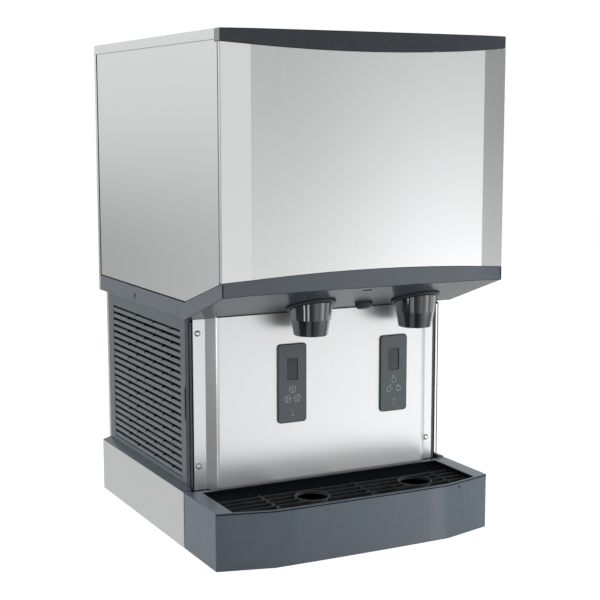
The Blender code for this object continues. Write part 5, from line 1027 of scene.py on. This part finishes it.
TRAY_LOW, TRAY_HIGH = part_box("drip_tray")
GRILLE_LOW, GRILLE_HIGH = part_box("drip_grille")
TRAY_BEND = 0.172
TRAY_BEND_SLOPE = 0.2704
TRAY_BEND_SETBACK = 0.008
TRAY_BOW = 0.002
TRAY_WALL = 0.012
RIM_GROOVE_DROP = 0.0026
BASIN_HALF = 0.2401
BASIN_BACK_Y = -0.1405
BASIN_FLOOR = 0.04
UPRIGHT_FACING = 0.5
GRILLE_BARS = 7
GRILLE_BAR = 0.0042
GRILLE_BORDER = 0.004
BAR_HEIGHT = 0.0055
RIB_PLACES = (-0.626, 0.1585, 0.834)
RING_OUTER = 0.032
RING_INNER = 0.0285
RING_SETBACK = 0.080
RING_STEPS = 48
SILL_FRONT_Y = -0.174
SILL_DROP = 0.0008


def tray_setback(x):
    """How far behind the front's corners the tray's face stands at a place across it."""
    if abs(x) > TRAY_BEND:
        return TRAY_BEND_SETBACK + TRAY_BEND_SLOPE * (abs(x) - TRAY_BEND)
    return TRAY_BEND_SETBACK - TRAY_BOW * (1 - (x / TRAY_BEND) ** 2)


def in_basin(face):
    """Whether a face of the tray is black: in the basin, or on the ledge behind it."""
    middle = face.calc_center_median()
    centre = Vector((0, (GRILLE_LOW.y + GRILLE_HIGH.y) / 2, middle.z))
    outside = face.normal.dot(middle - centre) > 0 and abs(face.normal.z) < UPRIGHT_FACING
    aside, above = abs(middle.x), middle.z > TRAY_LOW.z + BASIN_FLOOR
    inward = aside < BASIN_HALF + GRILLE_BORDER and middle.y > FRONT_Y + TRAY_WALL
    behind = middle.y > BASIN_BACK_Y - MOULDED_EDGE and aside < BASIN_HALF
    ledge = middle.y > BASIN_BACK_Y - GRILLE_BORDER and aside < GRILLE_HIGH.x and above
    return (inward and above and middle.z < TRAY_HIGH.z - MOULDED_EDGE and not outside) or behind or ledge


def make_drip_tray():
    """The tray in two tones: slate outside and on its rim, black in its basin."""
    bm = round_edges(merged_copy("drip_tray"), MOULDED_EDGE, segments=3)
    for face in bm.faces:
        if in_basin(face):
            face.material_index = 1
    piece("drip_tray_moulding", bm, "grey_plastic", "root", "drip_tray", [TRAY_SKIN, FINISHES["bar_plastic"]])
    rods("tray_rim_groove", [[(x, FRONT_Y + tray_setback(x), TRAY_HIGH.z - RIM_GROOVE_DROP)
                              for x in across(TRAY_BEND, LINE)]])


def bar_stretches(y, rings):
    """The stretches of one bar, from one cut corner to the other, between the cup rings."""
    depth = y - GRILLE_LOW.y
    end = min(GRILLE_HIGH.x, TRAY_BEND + depth / TRAY_BEND_SLOPE) - GRILLE_BORDER / 2
    stretches, start = [], -end
    for x, ring_y in rings:
        reach = RING_OUTER ** 2 - (y - ring_y) ** 2
        if reach > 0:
            half = math.sqrt(reach) - GRILLE_BAR / 2
            stretches.append((start, x - half))
            start = x + half
    return stretches + [(start, end)]


def make_grille():
    """Rounded bars from side to side, cross ribs, a border, a sill and two open cup rings."""
    rings = [((low.x + high.x) / 2, FRONT_Y + RING_SETBACK)
             for low, high in (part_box("sensor_bezel_ice"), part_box("sensor_bezel_water"))]
    high, low, top = GRILLE_HIGH.z, GRILLE_HIGH.z - BAR_HEIGHT, GRILLE_HIGH.z - BAR_HEIGHT / 2
    end = GRILLE_HIGH.x - GRILLE_BORDER / 2
    front, back = GRILLE_LOW.y + GRILLE_BORDER / 2, GRILLE_HIGH.y - GRILLE_BORDER / 2
    rows = [front + (back - front) / GRILLE_BARS * row for row in range(1, GRILLE_BARS)]
    bars = [[(x, y, top) for x in stretch]
            for y in rows if y <= SILL_FRONT_Y for stretch in bar_stretches(y, rings)]
    cut = front + TRAY_BEND_SLOPE * (end - TRAY_BEND)
    border = [(x, y, top) for x, y in ((-end, cut), (-TRAY_BEND, front), (TRAY_BEND, front), (end, cut),
                                       (end, back), (-end, back), (-end, cut))]
    ribs = [[(share * end, y, top) for y in (front, SILL_FRONT_Y)] for share in RIB_PLACES]
    for name, paths, width, replaced, skin in (
            ("drip_grille_bars", bars, GRILLE_BAR, "drip_grille", GRILLE_BAR_SKIN),
            ("drip_grille_border", [border], GRILLE_BORDER, None, None),
            ("drip_grille_ribs", ribs, GRILLE_BORDER / 2, None, GRILLE_EDGE)):
        values = {"Width": width, "Height": BAR_HEIGHT, "Corner": GRILLE_BAR / 3}
        ruled(name, lines(paths), BAR_RULE, values, "bar_plastic", "grille", replaced, skin)
    sill = prism(rectangle((-end, end), (SILL_FRONT_Y, back)), "Z", low, high - SILL_DROP)
    piece("drip_grille_sill", round_edges(sill, SILL_DROP), body="grille", skins=[SILL_SKIN])
    cups = bmesh.new()
    lip = (RING_OUTER - RING_INNER) / 4
    profile = [(RING_INNER, low), (RING_INNER, high - lip), (RING_INNER + lip, high),
               (RING_OUTER - lip, high), (RING_OUTER, high - lip), (RING_OUTER, low)]
    for x, y in rings:
        add_turned(cups, profile, (x, y, 0), RING_STEPS)
    piece("cup_rings", sealed(cups), body="grille", skins=[GRILLE_EDGE])


# Rear fittings

BACK_FACE_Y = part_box("back_panel")[1].y
REAR_RECESS = 0.0007
REAR_SCREW_INSET = 0.010
REAR_SCREW_ROWS = (0.470, 0.600, 0.730, 0.855)
TOP_SCREW_X = 0.09
LOWER_SCREW_X = 0.2475
LOWER_SCREW_ROWS = (0.030, 0.160, 0.290, 0.395)
REAR_FOLD_Z = 0.4385
REAR_TOP_Z = 0.8675


def make_rear():
    """The back panel with its face set back by the height of its flat screw heads, and its fittings."""
    bm = joined_copy("back_panel")
    face = BACK_FACE_Y - REAR_RECESS
    for vert in bm.verts:
        if vert.co.y > BACK_FACE_Y - WELD:
            vert.co.y = face
    piece("back_panel_finished", bm, "stainless", "root", "back_panel", flat=True)
    places = [(side * (HALF - REAR_SCREW_INSET), face, z) for side in (-1, 1) for z in REAR_SCREW_ROWS]
    places += [(side * LOWER_SCREW_X, face, z) for side in (-1, 1) for z in LOWER_SCREW_ROWS]
    places += [(x, face, REAR_SCREW_ROWS[-1]) for x in (-TOP_SCREW_X, TOP_SCREW_X)]
    make_screws("rear_screws", places, (0.0, 1.0, 0.0), FLAT_SCREW_PATTERN, "gear_steel")
    rods("rear_seams", [[(-reach, face, z), (reach, face, z)] for reach, z in (
        (HALF - LINE, REAR_TOP_Z), (LOWER_SCREW_X, REAR_FOLD_Z))], THIN_LINE, 6)
    softened("rear_ports", MOULDED_EDGE / 2)
    softened("power_gland", MOULDED_EDGE / 2)


# Cooling

FIN_COUNT = 96
FIN_HALF = 0.00015
FIN_END = 0.010
END_PLATE = FIN_HALF * 6
END_PLATE_GAP = FIN_HALF * 2
TUBE_ROWS = 7
TUBE_RADIUS = 0.0035
TUBE_BEND_STEPS = 6
COMPRESSOR_REACH = 0.0622
SEAM_RADIUS = 0.0012
SEAM_RISE = 0.42


def make_cooling():
    """The condenser with its close fins and its return bends, and the compressor's welded seam."""
    low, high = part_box("condenser")
    outline = rectangle((low.x, high.x), (low.z, high.z))
    front, back = low.y + FIN_END, high.y - FIN_END
    fin = prism(outline, "Y", front - FIN_HALF, front + FIN_HALF)
    fins = {"Count": FIN_COUNT + 1, "Pitch": (0, (back - front) / FIN_COUNT, 0)}
    ruled("condenser_fins", fin, ROW_RULE, fins, "aluminium", "root", "condenser")
    plates = bmesh.new()
    for y in (front - END_PLATE_GAP - END_PLATE, back + END_PLATE_GAP):
        add_prism(plates, outline, "Y", y, y + END_PLATE)
    piece("condenser_end_plates", round_edges(sealed(plates), FIN_HALF), "galvanised")
    spacing = (high.z - low.z) / TUBE_ROWS
    reach = FIN_END - TUBE_RADIUS - FIN_HALF
    bends = [[(x, y + out * reach * math.sin(turn),
               low.z + spacing * (row + 0.5) - spacing / 4 * math.cos(turn))
              for turn in turns(TUBE_BEND_STEPS, 0.0, math.pi)]
             for row in range(TUBE_ROWS) for x in (low.x + TUBE_RADIUS * 2, high.x - TUBE_RADIUS * 2)
             for y, out in ((front, -1), (back, 1))]
    rods("condenser_return_bends", bends, TUBE_RADIUS, 8, "aluminium")
    softened("compressor", CAST_EDGE)
    low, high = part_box("compressor")
    middle, height = (low + high) / 2, low.z + (high.z - low.z) * SEAM_RISE
    ring = [(middle.x + u, middle.y + v, height) for u, v in circle(COMPRESSOR_REACH, TURN_STEPS)]
    rods("compressor_seam", [ring + ring[:1]], SEAM_RADIUS, 8, "black_paint")


# Stage

FLOOR_HALF = 6
FLOOR_COLOUR = (0.7, 0.7, 0.7, 1)
SHADOW_SHARE = 0.40
FLOOR_GLOW = 1.49
WHITE = (1, 1, 1, 1)


def make_floor():
    """A pale floor that shows white to the camera and keeps the machine's shadow."""
    bm = bmesh.new()
    span = (-FLOOR_HALF, FLOOR_HALF)
    bm.faces.new([bm.verts.new((x, y, 0)) for x, y in rectangle(span, span)])
    floor = mesh_object("studio_floor", bm)
    material = bpy.data.materials.new("white_floor")
    material.use_nodes = True
    tree = material.node_tree
    tree.nodes.remove(tree.nodes["Principled BSDF"])
    diffuse = made(tree, "ShaderNodeBsdfDiffuse", {"Color": FLOOR_COLOUR})
    glow = made(tree, "ShaderNodeEmission", {"Color": WHITE, "Strength": FLOOR_GLOW})
    seen = tree.nodes.new("ShaderNodeLightPath").outputs["Is Camera Ray"]
    share = arithmetic(tree, "MULTIPLY", seen, 1 - SHADOW_SHARE)
    tree.links.new(blend_shaders(tree, share, diffuse, glow), tree.nodes["Material Output"].inputs["Surface"])
    floor.data.materials.append(material)
    floor.visible_glossy = False


# Each table gives a direction's place from left to right, or from low to high, and the studio's tone there.
FRONT_LEFT_TONES = ((-1.0, 0.15), (-0.735, 0.14), (-0.71, 1.6), (-0.61, 1.6), (-0.59, 0.16), (-0.33, 0.18))
FRONT_HIGH_TONES = FRONT_LEFT_TONES + (
    (-0.25, 0.72), (0.02, 0.96), (0.12, 1.00), (0.30, 0.53), (0.42, 0.42), (0.57, 0.72), (0.68, 0.74),
    (0.78, 0.20), (1.0, 0.18))
FRONT_LOW_TONES = FRONT_LEFT_TONES + (
    (-0.25, 0.42), (-0.07, 0.60), (0.03, 0.97), (0.12, 1.00), (0.30, 0.71), (0.42, 0.72), (0.57, 1.49),
    (0.70, 1.54), (0.80, 0.22), (0.90, 0.85), (1.0, 0.85))
FRONT_DEPTH_TONES = ((-0.5, 0.45), (-0.44, 0.6), (-0.34, 1.30), (-0.22, 1.45), (-0.14, 1.0), (0.0, 1.0))
DEEP_TONES = ((-1.0, 1.0), (0.30, 0.98), (0.42, 1.05), (0.48, 1.20), (0.60, 1.42), (0.75, 1.45), (1.0, 1.2))
BACK_NEAR_TONES = ((-0.30, 0.66), (-0.20, 0.66), (-0.11, 0.655), (0.04, 0.96), (0.30, 0.90))
BACK_FAR_TONES = ((-0.30, 0.68), (-0.20, 0.66), (-0.13, 0.27), (-0.083, 0.24), (-0.045, 0.64), (0.0, 0.86),
                  (0.04, 0.86), (0.30, 0.84))
FRONT_LEVELS = (-0.11, 0.05)
DEEP_LEVELS = (-0.16, -0.21)
BACK_SPAN = (-0.40, -0.32)
BEHIND = (0.35, 0.75)
ABOVE = (0.3, 0.9)
ZENITH = 0.25
EVEN_LIGHT = 0.40
EVEN_COLOUR = (0.97, 0.985, 1, 1)


def tone_ramp(tree, value, tones):
    """A value turned into a tone by a table of places and tones."""
    low, high = tones[0][0], tones[-1][0]
    ramp = new_node(tree, "ShaderNodeValToRGB", {"Fac": ranged(tree, value, low, high)})
    stops = ramp.color_ramp.elements
    while len(stops) < len(tones):
        stops.new(0.5)
    for stop, (place, tone) in zip(stops, tones):
        stop.position = (place - low) / (high - low)
        stop.color = (tone, tone, tone, 1)
    return ramp.outputs["Color"]


def make_world():
    """White to the camera, an even light for matt surfaces, and a soft studio for the steel to show."""
    world = bpy.data.worlds.new("studio")
    bpy.context.scene.world = world
    world.use_nodes = True
    tree = world.node_tree
    tree.nodes.clear()
    direction = tree.nodes.new("ShaderNodeTexCoord").outputs["Generated"]
    x, y, z = new_node(tree, "ShaderNodeSeparateXYZ", {"Vector": direction}).outputs
    front = blend_values(tree, ranged(tree, z, *FRONT_LEVELS), tone_ramp(tree, x, FRONT_LOW_TONES),
                         tone_ramp(tree, x, FRONT_HIGH_TONES))
    front = arithmetic(tree, "MULTIPLY", front, tone_ramp(tree, z, FRONT_DEPTH_TONES))
    deep = blend_values(tree, ranged(tree, z, *DEEP_LEVELS), 1.0, tone_ramp(tree, x, DEEP_TONES))
    front = arithmetic(tree, "MULTIPLY", front, deep)
    back = blend_values(tree, ranged(tree, x, *BACK_SPAN), tone_ramp(tree, z, BACK_NEAR_TONES),
                        tone_ramp(tree, z, BACK_FAR_TONES))
    around = blend_values(tree, ranged(tree, y, *BEHIND), front, back)
    studio = blend_values(tree, ranged(tree, z, *ABOVE), around, ZENITH + EVEN_LIGHT)
    path = tree.nodes.new("ShaderNodeLightPath").outputs
    even, shown, white = [made(tree, "ShaderNodeBackground", {"Color": colour, "Strength": strength})
                          for colour, strength in ((EVEN_COLOUR, EVEN_LIGHT), (WHITE, studio), (WHITE, 1.0))]
    mirrored = arithmetic(tree, "MAXIMUM", path["Is Glossy Ray"], path["Is Transmission Ray"])
    lit = blend_shaders(tree, mirrored, even, shown)
    whole = blend_shaders(tree, path["Is Camera Ray"], lit, white)
    new_node(tree, "ShaderNodeOutputWorld", {"Surface": whole})


# A softbox has a name, a place, a side and a power. A glint has a name, a place and a radiance.
SOFTBOXES = (("right_window", (3.0, -0.85, 0.95), 1.5, 80), ("left_window", (-2.7, 1.15, 1.1), 1.5, 47),
             ("top_softbox", (0.0, -0.4, 3.0), 2.0, 12))
SOFTBOX_AIM = Vector((0, 0, 0.45))
GLINTS = (("left_glint", (-0.502, -0.423, 0.300), 6.2), ("right_glint", (-0.375, -0.581, 0.290), 3.0))
GLINT_AIM = Vector((-0.0565, -0.1959, 0.42))
GLINT_SIZE = (0.055, 0.14)
FOOT_GLOWS = ((-0.262, 0.12), (-0.10, 0.14), (0.02, 0.08))
FOOT_GLOW_END = 0.238
FOOT_GLOW_SPAN = (-0.330, -0.142)
FOOT_GLOW_HEIGHT = 0.103
FOOT_GLOW_STEP = 0.004


def add_lamp(name, place, turn, size, power, glossy):
    """An area lamp for matt surfaces alone, or one that only shows in glossy ones."""
    data = bpy.data.lights.new(name, "AREA")
    data.shape = "RECTANGLE"
    data.size, data.size_y = size
    data.energy = power
    lamp = placed_object(name, data)
    lamp.location = place
    lamp.rotation_euler = turn
    lamp.visible_camera = False
    lamp.visible_glossy = glossy
    lamp.visible_diffuse = not glossy


def aimed(place, aim):
    return (aim - Vector(place)).to_track_quat("-Z", "Y").to_euler()


def make_lamps():
    for name, place, side, power in SOFTBOXES:
        add_lamp(name, place, aimed(place, SOFTBOX_AIM), (side, side), power, False)
    for name, place, radiance in GLINTS:
        power = radiance * math.pi * GLINT_SIZE[0] * GLINT_SIZE[1]
        add_lamp(name, place, aimed(place, GLINT_AIM), GLINT_SIZE, power, True)
    near, far = FOOT_GLOW_SPAN
    for start, radiance in FOOT_GLOWS:
        width, depth = FOOT_GLOW_END - start, far - near
        height = FOOT_GLOW_HEIGHT + FOOT_GLOW_STEP * (start - FOOT_GLOWS[0][0])
        add_lamp("splash_foot_glow", (start + width / 2, (near + far) / 2, height), (math.pi, 0, 0),
                 (width, depth), radiance * math.pi * width * depth, True)


def make_camera():
    data = bpy.data.cameras.new("photo_camera")
    data.lens = CAMERA_LENS
    data.sensor_width = SENSOR
    camera = placed_object("photo_camera", data)
    camera.location = CAMERA_PLACE
    camera.rotation_euler = CAMERA_TURN
    bpy.context.scene.camera = camera


for node_name, node_object in nodes.items():
    node_object.data.materials.clear()
    node_object.data.materials.append(FINISHES[slot_of[node_name]])
SCREW_PATTERN = make_screw_pattern("screw_pattern", SCREW_DOME, SCREW_SLOT_DEPTH)
FLAT_SCREW_PATTERN = make_screw_pattern("flat_screw_pattern", REAR_RECESS, REAR_RECESS / 2)
make_cabinet()
make_lower_cabinet()
make_vend_bay()
make_drip_tray()
make_grille()
make_rear()
make_cooling()
make_joints()
bpy.data.objects.remove(SCREW_PATTERN)
bpy.data.objects.remove(FLAT_SCREW_PATTERN)
make_floor()
make_world()
make_lamps()
make_camera()
bpy.context.scene.view_settings.view_transform = "Standard"
